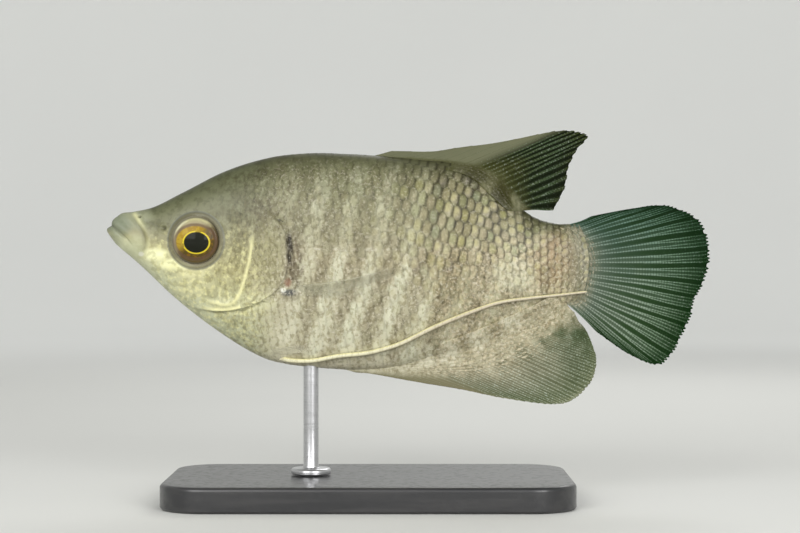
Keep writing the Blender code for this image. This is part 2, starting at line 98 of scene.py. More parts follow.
# %% [markdown]
# ## Lines through named points
# A fish's outline is a few smooth lines. Each is given by the points that its shape needs, and a cubic
# between them carries the slope on. The same numbers shape the solids, so every piece here fits them.

# %% Smooth lines
def smooth_line(points):
    """A function of x whose curve runs smoothly through the points."""
    x, y = np.array(points, float).T
    slope = np.gradient(y, x)

    def value(at):
        at = np.clip(at, x[0], x[-1])
        i = np.clip(np.searchsorted(x, at) - 1, 0, len(x) - 2)
        step = x[i + 1] - x[i]
        t = (at - x[i]) / step
        rise = slope[i] * step * t * (1 - t) ** 2 - slope[i + 1] * step * t * t * (1 - t)
        return y[i] + (y[i + 1] - y[i]) * t * t * (3 - 2 * t) + rise

    return value


def along(points, share):
    """The points of a smooth curve through points, at shares of its run from 0 to 1."""
    points = np.array(points, float)
    steps = np.linspace(0, 1, len(points))
    return np.stack([smooth_line(list(zip(steps, c)))(np.asarray(share)) for c in points.T], axis=-1)


def ease(value, low, high):
    """0 up to low, 1 from high on, and a smooth turn between."""
    t = np.clip((np.asarray(value, float) - low) / (high - low), 0, 1)
    return t * t * (3 - 2 * t)


def line_distance(x, z, line):
    """Signed distance of points in side view from a line, above it where positive, and how far along it."""
    best = np.full(np.shape(x), 1e9)
    signed, run, start = np.zeros(np.shape(x)), np.zeros(np.shape(x)), 0.0
    for (x0, z0), (x1, z1) in zip(line, line[1:]):
        length = math.hypot(x1 - x0, z1 - z0)
        dx, dz = (x1 - x0) / length, (z1 - z0) / length
        t = np.clip((x - x0) * dx + (z - z0) * dz, 0, length)
        off_x, off_z = x - x0 - t * dx, z - z0 - t * dz
        far = np.hypot(off_x, off_z)
        nearer = far < best
        side = np.where(dx * off_z - dz * off_x >= 0, 1, -1)
        best = np.where(nearer, far, best)
        signed = np.where(nearer, side * far, signed)
        run = np.where(nearer, start + t, run)
        start += length
    return signed, run / start


print("a quarter of the way up a smooth turn:", round(float(ease(0.25, 0, 1)), 3))

# %% [markdown]
# ## The plain body
# Under its scales the fish is a smooth, flat-sided spindle, deepest behind the head. It could be sculpted,
# but a back line, a belly line, a width and a widest level give every section of it. Each section is a
# circle drawn out to fit them, so any single point of the body can be worked out, and so can the
# direction that it faces.

# %% Lines of the body
SNOUT = (-60.0, 53.8)
NOSE_LENGTH = 1.8
BODY_END = 33.5
TAIL_BOW_START, TAIL_BOW = 27.0, 2.0
BACK_LINE = [
    (-60.2, 54.2), (-59.5, 54.7), (-58.9, 55.6), (-58.4, 56.3), (-57.6, 56.9), (-55.0, 57.4),
    (-51.6, 58.1), (-45.1, 61.2), (-36.8, 65.4), (-28.0, 68.1), (-20.0, 69.0), (-11.0, 68.8),
    (2.0, 67.7), (10.0, 66.8), (15.5, 64.6), (19.5, 60.6), (23.5, 57.0), (28.5, 55.1), (35.5, 55.3),
]
BELLY_LINE = [
    (-60.2, 52.4), (-58.4, 50.9), (-53.9, 47.1), (-46.8, 40.4), (-40.0, 35.0), (-34.7, 31.4),
    (-31.4, 29.5), (-28.1, 28.0), (-24.8, 27.2), (-18.0, 26.4), (-12.0, 26.0), (-4.0, 26.4),
    (6.0, 28.7), (16.0, 32.3), (26.0, 36.8), (31.0, 38.8), (35.5, 39.6),
]
HALF_WIDTH = [
    (-60.2, 1.5), (-57.5, 2.2), (-53.0, 3.3), (-47.0, 4.8), (-42.0, 5.7), (-34.0, 6.9), (-26.0, 7.9),
    (-16.0, 8.3), (-4.0, 7.8), (8.0, 6.4), (18.0, 4.7), (27.0, 3.1), (35.5, 1.6),
]
WIDEST_SHARE = [(-60.2, 0.40), (-45.0, 0.50), (-30.0, 0.53), (0.0, 0.57), (20.0, 0.53), (35.5, 0.50)]
BACK_POWER = [(-60.2, 0.80), (-45.0, 0.80), (-28.0, 0.95), (0.0, 1.02), (35.5, 1.00)]
BELLY_POWER = [(-60.2, 0.85), (-45.0, 1.00), (-28.0, 0.95), (-10.0, 1.05), (10.0, 1.35), (35.5, 1.10)]

back, belly = smooth_line(BACK_LINE), smooth_line(BELLY_LINE)
half_width, widest_share = smooth_line(HALF_WIDTH), smooth_line(WIDEST_SHARE)
back_power, belly_power = smooth_line(BACK_POWER), smooth_line(BELLY_POWER)
print(f"body {BODY_END - SNOUT[0]:.1f} mm long, {float(back(-15.0) - belly(-15.0)):.1f} mm deep")

# %% Sections of the body
def nose_share(x):
    """0 at the tip of the snout, rising as a quarter circle to 1 behind the nose."""
    u = np.clip((x - SNOUT[0]) / NOSE_LENGTH, 0, 1)
    return np.sqrt(1 - (1 - u) ** 2)


def tail_bow(x):
    """How far the middle of a section is drawn back, so that the body ends in an arc."""
    return TAIL_BOW * np.clip((x - TAIL_BOW_START) / (BODY_END - TAIL_BOW_START), 0, 1) ** 2


def levels(x):
    """The back, belly and widest level of the section at x."""
    share = nose_share(x)
    top = SNOUT[1] + (back(x) - SNOUT[1]) * share
    low = SNOUT[1] + (belly(x) - SNOUT[1]) * share
    return top, low, low + (top - low) * widest_share(x)


def side_at(x, z):
    """How far the side of the body stands from the middle plane at a point of the side view."""
    x, z = np.asarray(x, float), np.asarray(z, float)
    section_x = x
    for _ in range(3):
        top, low, widest = levels(section_x)
        reach = np.where(z > widest, top - widest, widest - low)
        rise = np.clip(np.abs(z - widest) / reach, 0, 1)
        section_x = x - tail_bow(x) * (1 - rise ** 2)
    power = np.where(z > widest, back_power(section_x), belly_power(section_x))
    return half_width(section_x) * nose_share(section_x) * np.sqrt(1 - rise ** 2) ** power


def body_point(x, angle):
    """Points of the plain body: angle pi/2 is the back, pi the right side, 3 pi/2 the belly."""
    x, angle = np.broadcast_arrays(np.asarray(x, float), np.asarray(angle, float))
    top, low, widest = levels(x)
    up, side = np.sin(angle), np.cos(angle)
    rise = np.where(up > 0, (top - widest) * up, (widest - low) * up)
    power = np.where(up > 0, back_power(x), belly_power(x))
    wide = half_width(x) * nose_share(x) * np.abs(side) ** power * np.sign(side)
    return np.stack([x + tail_bow(x) * side ** 2, -wide, widest + rise], -1)


def unit(vectors):
    """The same directions, each of length 1."""
    return vectors / np.maximum(np.linalg.norm(vectors, axis=-1), 1e-9)[..., None]


def body_normal(x, angle, step=0.02):
    """The outward direction of the plain body, from the points beside each point."""
    run = body_point(x + step, angle) - body_point(x - step, angle)
    ring = body_point(x, angle + step) - body_point(x, angle - step)
    return unit(np.cross(run, ring))


print(f"width at its widest: {2 * float(half_width(-16.0)):.1f} mm")

# %% [markdown]
# ## Relief of the head
# A museum looks at the head first. The lips, the line of the mouth, the fold behind the upper jaw, the
# nostrils, the rim of the eye, the ridge of the cheek bone and the edge of the gill cover are all real
# steps in the skin. They could be a bump map, but the model is also kept as bare meshes, so each is a
# height over the plain body, written as a function of the distance from a line in side view.

# %% Lines and places on the head
MOUTH_LINE = [(-60.3, 54.9), (-59.1, 54.6), (-57.8, 53.4), (-56.2, 51.9), (-55.0, 50.3)]
JAW_FOLD = [(-55.3, 57.4), (-54.1, 55.6), (-52.8, 53.6), (-52.2, 51.9), (-52.3, 50.2), (-53.3, 48.9)]
NOSTRIL_GROOVE = [(-53.2, 55.7), (-51.0, 54.9), (-49.0, 54.0)]
CHEEK_RIDGE = [(-31.0, 53.8), (-31.6, 48.4), (-32.3, 45.5), (-32.9, 43.2), (-33.9, 40.6), (-35.7, 38.9),
               (-39.2, 39.3), (-42.3, 40.6)]
GILL_EDGE = [(-28.6, 58.6), (-27.0, 56.2), (-25.0, 54.1), (-24.1, 49.8), (-24.4, 45.4), (-26.4, 41.6),
             (-30.7, 39.0), (-35.7, 37.7), (-40.3, 37.8), (-43.5, 38.6)]
EYE_CENTRE = (-41.9, 3.9, 51.6)
EYE_OPENING = 4.7
EYE_RADII = (5.1, 2.75, 5.1)
LID_RIDGE, LID_GROOVE = 5.25, 5.75
LID_LAP = (4.9, 5.4)
NOSTRILS = [((-48.9, 54.1), 0.5), ((-53.7, 56.4), 0.32)]
CHEEK_RIDGE = [tuple(p) for p in along(CHEEK_RIDGE, np.linspace(0, 1, 25))]
GILL_EDGE = [tuple(p) for p in along(GILL_EDGE, np.linspace(0, 1, 33))]
JAW_FOLD = [tuple(p) for p in along(JAW_FOLD, np.linspace(0, 1, 13))]
print("points of the gill cover's edge:", len(GILL_EDGE), "and of the cheek ridge:", len(CHEEK_RIDGE))

# %% Heights on the head
def bell(distance, width):
    """1 on a line, falling away over width on both sides."""
    return np.exp(-(distance / width) ** 2)


def ends(run, first, last):
    """1 along a line, fading to 0 over a share of it at its first and last end."""
    return ease(run, 0, first) * (1 - ease(run, 1 - last, 1))


def head_relief(x, z):
    """The height of the head's forms over the plain body, and masks of its crests and grooves for painted
    highlight and shade.
    """
    mouth, run = line_distance(x, z, MOUTH_LINE)
    lips = bell(np.abs(mouth) - 0.95, 0.7) * (1 - ease(run, 0.5, 1.0))
    slit = bell(mouth, 0.2) * (1 - ease(run, 0.72, 1.0))
    height = 0.22 * lips - 0.18 * slit - 0.08 * bell(np.abs(mouth) - 2.2, 0.45) * (1 - ease(run, 0.4, 0.9))
    dark = (0.5 - 0.3 * ease(run, 0.1, 0.5)) * slit

    fold, run = line_distance(x, z, JAW_FOLD)
    fade = ends(run, 0.10, 0.12)
    height += fade * (0.16 * bell(fold - 0.3, 0.5) - 0.12 * bell(fold + 0.45, 0.4))
    crest = (0.6 - 0.45 * ease(run, 0.2, 0.5)) * fade * bell(fold - 0.2, 0.45)
    dark = np.maximum(dark, 0.25 * fade * bell(fold + 0.45, 0.35))

    groove, run = line_distance(x, z, NOSTRIL_GROOVE)
    height -= 0.12 * bell(groove, 0.45) * ends(run, 0.2, 0.15)
    dark = np.maximum(dark, 0.3 * bell(groove, 0.4) * ends(run, 0.3, 0.05))
    for (nx, nz), radius in NOSTRILS:
        far = np.hypot(x - nx, z - nz)
        height += 0.12 * bell(far - radius * 1.5, radius * 0.6) - 0.55 * bell(far, radius * 0.8)
        dark = np.maximum(dark, 0.75 * bell(far, radius * 0.75))

    ridge, run = line_distance(x, z, CHEEK_RIDGE)
    fade = ends(run, 0.15, 0.2)
    height += fade * (0.2 * bell(ridge + 0.2, 0.45) - 0.16 * bell(ridge - 0.55, 0.4))
    crest = np.maximum(crest, 0.8 * fade * bell(ridge + 0.1, 0.38))
    dark = np.maximum(dark, 0.25 * fade * bell(ridge - 0.65, 0.3))

    edge, run = line_distance(x, z, GILL_EDGE)
    fade = ends(run, 0.1, 0.16)
    cover = 0.52 * np.exp(np.minimum(edge, 0) / 2.4) * (1 - ease(edge, -0.15, 0.12))
    height += fade * (cover - 0.34 * bell(edge - 0.35, 0.36) * (edge > -0.1))
    crest = np.maximum(crest, fade * ease(run, 0.5, 0.72) * bell(edge + 0.4, 0.42))
    dark = np.maximum(dark, fade * bell(edge - 0.4, 0.42) * (1 - 0.75 * ease(run, 0.55, 0.75)))
    return height, crest, dark


print(f"the lips stand {float(head_relief(-58.0, 54.6)[0]):.2f} mm proud beside the line of the mouth")

# %% The skin round the eye
def eye_profile(far):
    """How far the eye's surface stands from the middle plane, at a distance from its centre."""
    return EYE_CENTRE[1] + EYE_RADII[1] * np.clip(1 - (far / EYE_RADII[0]) ** 2, 0, 1) ** 0.35


def fit_to_eye(x, wide, z):
    """Lays the skin over the eye's edge in a soft rim, and sinks it below the eye inside that."""
    far = np.hypot(x - EYE_CENTRE[0], z - EYE_CENTRE[2])
    rim = wide + 0.1 * bell(far - LID_RIDGE, 0.3) - 0.1 * bell(far - LID_GROOVE, 0.25)
    over_eye = eye_profile(np.minimum(far, LID_LAP[0])) + 0.06 - 0.5 * ease(far, *LID_LAP)
    over = np.where(far < LID_LAP[1], over_eye, 0.0)
    lapped = 0.5 * (rim + over + np.sqrt((rim - over) ** 2 + 0.01))
    hollow = 1 - ease(far, EYE_OPENING - 0.2, EYE_OPENING)
    return far, lapped + hollow * (np.minimum(eye_profile(far) - 0.5, lapped) - lapped)


print(f"the eye stands {float(eye_profile(0.0)):.2f} mm from the middle plane")

# %% [markdown]
# ## Meshes from grids
# Skin, fins, threads and scales are all grids of points bent into shape, so a few small functions make
# every mesh. Each grid also writes its own map named OFBake, from its rows and columns, which lays the
# surface out flat with no overlap, whatever its shape.

# %% From points to an object
MAP_EDGE, MAP_SPAN = 0.01, 0.98


def build_mesh(name, points, quads, quad_map, triangles=(), triangle_map=(), values=None, sharp=None):
    """An object from points in millimetres, its faces, their map, and named values at its points."""
    mesh = bpy.data.meshes.new(name)
    faces = np.asarray(quads).tolist() + np.asarray(triangles, int).reshape(-1, 3).tolist()
    mesh.from_pydata((np.asarray(points) * MM).tolist(), [], faces)
    flat = [np.asarray(quad_map, float).reshape(-1)]
    flat.append(np.asarray(triangle_map, float).reshape(-1))
    mesh.uv_layers.new(name="OFBake").data.foreach_set("uv", np.concatenate(flat))
    for key, value in (values or {}).items():
        layer = mesh.attributes.new(key, "FLOAT", "POINT")
        layer.data.foreach_set("value", np.asarray(value, np.float32).reshape(-1))
    mesh.shade_smooth()
    if sharp:
        mesh.set_sharp_from_angle(angle=math.radians(sharp))
    thing = bpy.data.objects.new(name, mesh)
    bpy.context.scene.collection.objects.link(thing)
    return thing


def grid_quads(rows, columns, closed=False):
    """The faces of a grid of points, and the row and column of each face's corners."""
    spans = columns if closed else columns - 1
    i, j = np.meshgrid(np.arange(rows - 1), np.arange(spans), indexing="ij")
    i, j = i.reshape(-1), j.reshape(-1)
    row = np.stack([i, i, i + 1, i + 1], -1)
    column = np.stack([j, j + 1, j + 1, j], -1)
    return row * columns + column % columns, row, column


def grid_rim(rows, columns):
    """The points round the edge of a grid, in order."""
    return np.concatenate([
        np.arange(columns), np.arange(1, rows) * columns + columns - 1,
        (rows - 1) * columns + np.arange(columns - 2, -1, -1), np.arange(rows - 2, 0, -1) * columns,
    ])


print("3 by 4 points make", len(grid_quads(3, 4)[0]), "faces with", len(grid_rim(3, 4)), "points round them")

# %% Closed tubes and sheets
def closed_tube(name, grid, first, last, values=None):
    """A closed object from rings of points, drawn together to one point at each end."""
    rows, around = grid.shape[:2]
    points = np.concatenate([grid.reshape(-1, 3), [first, last]])
    quads, row, column = grid_quads(rows, around, closed=True)
    place = np.stack([(row + 1) / (rows + 1), column / around], -1) * MAP_SPAN + MAP_EDGE
    j = np.arange(around)
    k = (j + 1) % around
    start = np.full(around, rows * around)
    end_ring = (rows - 1) * around
    fan = [np.stack([start, k, j], -1), np.stack([start + 1, j + end_ring, k + end_ring], -1)]
    across = MAP_EDGE + MAP_SPAN * np.stack([j + 0.5, j + 1, j], -1) / around
    fan_map = []
    for deep, order in (([0, 1, 1], [0, 1, 2]), ([rows + 1, rows, rows], [0, 2, 1])):
        deep = MAP_EDGE + MAP_SPAN * np.array(deep) / (rows + 1)
        fan_map.append(np.stack([np.broadcast_to(deep, (around, 3)), across[:, order]], -1))
    return build_mesh(name, points, quads, place, np.concatenate(fan), np.concatenate(fan_map), values)


def closed_sheet(name, outer, inner, values=None, sharp=None):
    """A closed object from two grids that face each other."""
    rows, columns = outer.shape[:2]
    half = rows * columns
    quads, row, column = grid_quads(rows, columns)
    share = np.stack([column / (columns - 1), row / (rows - 1)], -1)
    front = share * [0.48, 0.94] + [0.01, 0.01]
    rear = front[:, ::-1] + [0.5, 0]
    ring = grid_rim(rows, columns)
    after = np.roll(ring, -1)
    edge = np.stack([after, ring, ring + half, after + half], -1)
    step = MAP_EDGE + MAP_SPAN * np.arange(len(ring) + 1) / len(ring)
    low, high = np.full(len(ring), 0.965), np.full(len(ring), 0.985)
    strip = np.stack([
        np.stack([step[1:], low], -1), np.stack([step[:-1], low], -1),
        np.stack([step[:-1], high], -1), np.stack([step[1:], high], -1),
    ], 1)
    faces = np.concatenate([quads, quads[:, ::-1] + half, edge])
    both = {key: np.concatenate([np.ravel(value)] * 2) for key, value in (values or {}).items()}
    points = np.concatenate([outer.reshape(-1, 3), inner.reshape(-1, 3)])
    return build_mesh(name, points, faces, np.concatenate([front, rear, strip]), values=both, sharp=sharp)


print("two ways to close a grid: as a tube, or as a sheet with two faces")

# %% Dressing a piece
def face_outward(mesh):
    """Turns the faces of a closed mesh over where they look inward, which its signed volume tells."""
    mesh.calc_loop_triangles()
    corners = np.empty(len(mesh.loop_triangles) * 3, np.int32)
    mesh.loop_triangles.foreach_get("vertices", corners)
    points = np.empty(len(mesh.vertices) * 3)
    mesh.vertices.foreach_get("co", points)
    a, b, c = points.reshape(-1, 3)[corners.reshape(-1, 3)].transpose(1, 0, 2)
    if (a * np.cross(b, c)).sum() < 0:
        mesh.flip_normals()


def settle(piece, look, slot, *nodes):
    """Dresses a piece, makes it ride with the model, and lets it stand for nodes of the frame."""
    face_outward(piece.data)
    piece.data.materials.append(look)
    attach(piece, "root")
    if nodes:
        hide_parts(*nodes)
    piece.data.calc_loop_triangles()
    print(f"{piece.name}: {len(piece.data.loop_triangles)} triangles")
    return piece


print("every piece rides on the root, because the model is still")

# %% [markdown]
# ## Shader maths as Python
# A marking is easier to read as an expression than as forty lines that add nodes. This small class wraps
# the socket that a wire leaves from. Each operator adds one Math node. Colours go through Mix.

# %% Signals
class Signal:
    """What runs along one wire between shader nodes."""

    def __init__(self, tree, socket=None):
        self.tree, self.socket = tree, socket

    def node(self, kind, settings, sockets, output=0):
        """Adds a node: its settings first, then a value or a wire for each of its sockets."""
        made = self.tree.nodes.new(kind)
        for key, value in settings.items():
            if key == "stops":
                set_stops(made.color_ramp, value)
            else:
                setattr(made, key, value)
        for key, value in sockets.items():
            if isinstance(value, Signal):
                self.tree.links.new(value.socket, made.inputs[key])
            else:
                made.inputs[key].default_value = value
        return Signal(self.tree, made.outputs[output])

    def other(self, output):
        """Another output of the same node."""
        return Signal(self.tree, self.socket.node.outputs[output])

    def maths(self, operation, *others):
        """A Math node of this signal and others."""
        return self.node("ShaderNodeMath", {"operation": operation}, dict(enumerate((self, *others))))

    def __add__(self, other):
        return self.maths("ADD", other)

    def __sub__(self, other):
        return self.maths("SUBTRACT", other)

    def __rsub__(self, other):
        return self.node("ShaderNodeMath", {"operation": "SUBTRACT"}, {0: other, 1: self})

    def __mul__(self, other):
        return self.maths("MULTIPLY", other)

    def __truediv__(self, other):
        return self.maths("DIVIDE", other)

    def __pow__(self, other):
        return self.maths("POWER", other)

    __radd__, __rmul__ = __add__, __mul__


print("a signal can be added, subtracted, multiplied, divided and raised to a power")

# %% Colours and masks
def set_stops(ramp, stops):
    """Gives a colour ramp its stops, as pairs of place and colour."""
    while len(ramp.elements) > 1:
        ramp.elements.remove(ramp.elements[-1])
    for i, (place, colour) in enumerate(stops):
        stop = ramp.elements[0] if i == 0 else ramp.elements.new(place)
        stop.position, stop.color = place, colour


def rgb(red, green, blue):
    """A colour as the eye reads it, 0 to 255, in the linear numbers that a shader needs."""
    shares = [c / 255 for c in (red, green, blue)]
    return (*(c / 12.92 if c <= 0.04045 else ((c + 0.055) / 1.055) ** 2.4 for c in shares), 1.0)


def ramp(signal, stops):
    """The colour that a signal has on a ramp of stops."""
    return signal.node("ShaderNodeValToRGB", {"stops": stops}, {"Fac": signal})


def mix(factor, a, b, blend="MIX"):
    """Colour a turning into colour b with the factor."""
    wired = next(s for s in (factor, a, b) if isinstance(s, Signal))
    settings = {"data_type": "RGBA", "blend_type": blend}
    return wired.node("ShaderNodeMix", settings, {0: factor, 6: a, 7: b}, 2)


def soft(signal, low, high):
    """0 at low and 1 at high with a smooth turn between, or the other way round if low is the larger."""
    sockets = {"Value": signal, "From Min": low, "From Max": high}
    return signal.node("ShaderNodeMapRange", {"interpolation_type": "SMOOTHSTEP"}, sockets)


def spot(x, z, centre, reach):
    """1 at a place of the side view, falling to 0 at reach from it."""
    across, up = (x - centre[0]) / reach[0], (z - centre[1]) / reach[1]
    return soft(across * across + up * up, 1.0, 0.0)


def painted(colour, x, z, marks, blend="MIX"):
    """A colour with marks laid over it, each with its centre, reach, strength and tone."""
    for centre, reach, strength, tone in marks:
        colour = mix(spot(x, z, centre, reach) * strength, colour, tone, blend)
    return colour


print("middle grey for the shader:", round(rgb(128, 128, 128)[0], 3))

# %% A material and what it can read
def place_in_mm(look):
    """The place of a point of the surface, in millimetres."""
    place = look.node("ShaderNodeTexCoord", {}, {}, "Object")
    return look.node("ShaderNodeVectorMath", {"operation": "SCALE"}, {0: place, "Scale": 1 / MM})


def noise(look, vector, scale, detail=2.0, stretch=(1, 1, 1)):
    """Cloudy noise from 0 to 1, of scale clouds in a millimetre."""
    sockets = {0: vector, 1: tuple(scale * s for s in stretch)}
    place = look.node("ShaderNodeVectorMath", {"operation": "MULTIPLY"}, sockets)
    return look.node("ShaderNodeTexNoise", {}, {"Vector": place, "Scale": 1.0, "Detail": detail})


def stored(look, name):
    """A value that the mesh carries at its points."""
    return look.node("ShaderNodeAttribute", {"attribute_name": name}, {}, "Fac")


def new_look(name, **numbers):
    """A material, its shader with the numbers set on it, a signal to start from, and the place on it."""
    made = bpy.data.materials.new(name)
    made.use_nodes = True
    shader = made.node_tree.nodes["Principled BSDF"]
    for key, value in numbers.items():
        shader.inputs[key.replace("_", " ")].default_value = value
    look = Signal(made.node_tree)
    return made, shader, look, place_in_mm(look)


def feed(shader, socket, signal):
    """Wires a signal to a socket of the shader."""
    signal.tree.links.new(signal.socket, shader.inputs[socket])


def bump(shader, height, distance, strength=1.0):
    """Fine relief in the shading alone, from a signal of height, so many millimetres deep."""
    sockets = {"Height": height, "Distance": distance * MM, "Strength": strength}
    feed(shader, "Normal", height.node("ShaderNodeBump", {}, sockets, "Normal"))


print("looks so far:", len(bpy.data.materials), "from the frame")

# %% [markdown]
# ## The markings
# A gourami of this age is silver grey, darker and greener on the back, with a cream cheek and a row of
# faint dark bars, which lean forwards as they go down. A painted picture could show them all, but it would
# have to be wrapped over thousands of scales. So one function makes the pattern from the place on the fish,
# and skin, scales and fin roots all call it and match.

# %% Colours of the body
FLANK_STOPS = [
    (0.00, rgb(212, 206, 182)), (0.08, rgb(202, 198, 173)), (0.20, rgb(186, 182, 157)),
    (0.36, rgb(174, 169, 144)), (0.50, rgb(164, 157, 131)), (0.60, rgb(150, 146, 119)),
    (0.74, rgb(134, 132, 103)), (0.88, rgb(116, 116, 86)), (0.95, rgb(90, 91, 63)),
    (1.00, rgb(72, 73, 47)),
]
HEAD_STOPS = [
    (0.00, rgb(184, 188, 158)), (0.22, rgb(180, 180, 145)), (0.42, rgb(173, 168, 126)),
    (0.58, rgb(142, 139, 106)), (0.72, rgb(122, 122, 93)), (0.88, rgb(98, 100, 72)),
    (1.00, rgb(76, 79, 54)),
]
BAR_PITCH, BAR_START, BAR_LEVEL = 6.57, -0.4, 48.7
BAR_LEAN, BAR_BEND = 0.255, 0.035
FLANK_MARKS = [
    ((22.0, 41.2), (2.0, 2.0), 0.35, rgb(92, 84, 62)),
    ((27.2, 44.6), (1.4, 3.4), 0.35, rgb(92, 84, 62)),
    ((-23.6, 40.6), (2.6, 1.5), 0.35, rgb(92, 84, 62)),
]
FLANK_SHADES = [
    ((7.5, 45.5), (7.0, 9.5), 0.62, (0.58, 0.54, 0.42, 1)),
    ((-8.0, 36.0), (3.0, 6.0), 0.3, (0.58, 0.54, 0.44, 1)),
    ((5.6, 29.6), (1.5, 2.2), 0.45, (0.42, 0.38, 0.27, 1)),
    ((11.0, 31.4), (1.6, 2.2), 0.45, (0.42, 0.38, 0.27, 1)),
    ((17.0, 34.2), (1.8, 2.4), 0.45, (0.42, 0.38, 0.27, 1)),
]
BASE_SPOTS = ((3.1, 28.8), (8.2, 28.9), (13.7, 31.4), (20.2, 35.6))
BASE_SPOT_REACH = (2.8, 3.0)
BACK_SHADES = [((12.0, 59.0), (13.0, 10.0), 0.72, (0.60, 0.57, 0.36, 1))]
FACE_SPOTS = [
    ((-50.6, 48.9), (3.2, 1.7), 0.95, rgb(236, 236, 190)),
    ((-46.8, 46.9), (4.6, 1.5), 0.9, rgb(234, 234, 184)),
    ((-43.6, 45.2), (3.6, 1.4), 0.6, rgb(226, 222, 172)),
    ((-53.4, 49.0), (0.7, 0.6), 0.8, rgb(236, 234, 226)),
    ((-43.0, 42.6), (6.0, 3.2), 0.5, rgb(206, 203, 160)),
    ((-33.0, 39.2), (8.0, 2.6), 0.75, rgb(208, 208, 170)),
    ((-27.6, 48.0), (3.4, 8.0), 0.55, rgb(144, 141, 104)),
    ((-55.0, 56.3), (5.0, 3.0), 0.8, rgb(150, 153, 125)),
    ((-58.0, 54.6), (3.4, 3.4), 0.9, rgb(118, 125, 104)),
    ((-58.6, 51.8), (2.6, 1.8), 0.6, rgb(148, 152, 126)),
    ((-54.6, 50.6), (3.2, 3.0), 0.6, rgb(172, 176, 146)),
]
print("flank stops:", len(FLANK_STOPS), "bar pitch:", BAR_PITCH, "mm, face spots:", len(FACE_SPOTS))

# %% Bars and face
def seen_in_mm(look, place):
    """The place in side view, as the photograph shows it, of a point on the body's side."""
    parts = look.node("ShaderNodeSeparateXYZ", {}, {0: place})
    side = parts.other(1).maths("ABSOLUTE")
    return as_seen(parts, side, PICTURE_CENTRE[0]), as_seen(parts.other(2), side, PICTURE_CENTRE[1])


def bars(look, place, x, z, cloud):
    """How dark and how pale the bars are at each place, from 0 to 1, and 1 on the lower flank."""
    up = z - BAR_LEVEL
    lean = up * BAR_LEAN - up.maths("ABSOLUTE") * BAR_BEND
    frayed = noise(look, place, 0.42, 5.0, stretch=(1.0, 1.0, 0.8))
    shift = (cloud - 0.5) * 2.6 + (frayed - 0.5) * 4.2
    wave = ((x - BAR_START - lean + shift) * (2 * math.pi / BAR_PITCH)).maths("COSINE")
    above_fin = soft(z - x.maths("MAXIMUM", 0.0) * 0.4, 26.0, 29.5)
    reach = soft(x, -27.0, -19.0) * soft(x, 31.0, 24.0) * soft(z, 68.0, 63.0) * above_fin
    reach = reach * (0.45 + soft(frayed, 0.34, 0.62) * 0.75)
    return soft(wave, 0.4, -0.7) * reach, soft(wave, -0.3, 0.9) * reach, soft(z, 52.0, 44.0)


def face_colour(look, place, x, z, height, colour):
    """The head's own patches, freckles and shade, over the colour of the body."""
    colour = painted(colour, x, z, FACE_SPOTS)
    face = soft(x, -26.0, -33.0)
    clouds = soft(noise(look, place, 0.33, 3.0), 0.36, 0.62)
    colour = mix(clouds * face * soft(height, 0.9, 0.7) * 0.3, colour, (0.58, 0.56, 0.46, 1), "MULTIPLY")
    freckles = soft(noise(look, place, 1.3, 4.0), 0.46, 0.68) * face * soft(height, 0.72, 0.5)
    colour = mix(freckles * soft(x, -53.0, -49.0) * 0.55, colour, rgb(220, 216, 160))
    shade = soft(noise(look, place, 0.8, 4.0), 0.54, 0.38) * face * soft(x, -57.0, -50.0)
    colour = mix(shade * 0.42, colour, (0.42, 0.40, 0.28, 1), "MULTIPLY")
    nape = soft(noise(look, place, 0.5, 5.0), 0.44, 0.58) * soft(x, -42.0, -33.0) * soft(x, -18.0, -26.0)
    return mix(nape * soft(height, 0.5, 0.7) * 0.5, colour, (0.50, 0.44, 0.32, 1), "MULTIPLY")


print(f"a bar leans {math.degrees(math.atan(BAR_LEAN)):.0f} degrees from upright")

# %% The colour that skin, scales and fin roots share
def barred(look, place, x, z, coarse, colour):
    """The bars, the dusky rear and its grit over a colour, with how low and how blotchy each place is."""
    dark, pale, low = bars(look, place, x, z, coarse)
    blotch = soft(noise(look, place, 0.75, 3.0, stretch=(1.5, 1.0, 0.7)), 0.36, 0.60)
    darkness = dark * (0.40 + low * 0.10) * (0.5 + blotch * 0.7)
    colour = mix(darkness, colour, (0.34, 0.30, 0.22, 1), "MULTIPLY")
    front = soft(x, 12.0, -4.0)
    paleness = pale * (0.22 + low * (0.12 + front * 0.36)) * (1.15 - blotch * 0.5)
    colour = mix(paleness, colour, rgb(212, 213, 190))
    rear = soft(x, -4.0, 12.0)
    colour = mix(rear * 0.42, colour, (0.50, 0.47, 0.34, 1), "MULTIPLY")
    grit = soft(noise(look, place, 1.5, 4.0), 0.44, 0.62) * soft(x, -2.0, 10.0) * soft(z, 54.0, 49.0)
    return mix(grit * 0.55, colour, rgb(204, 191, 163)), low, blotch


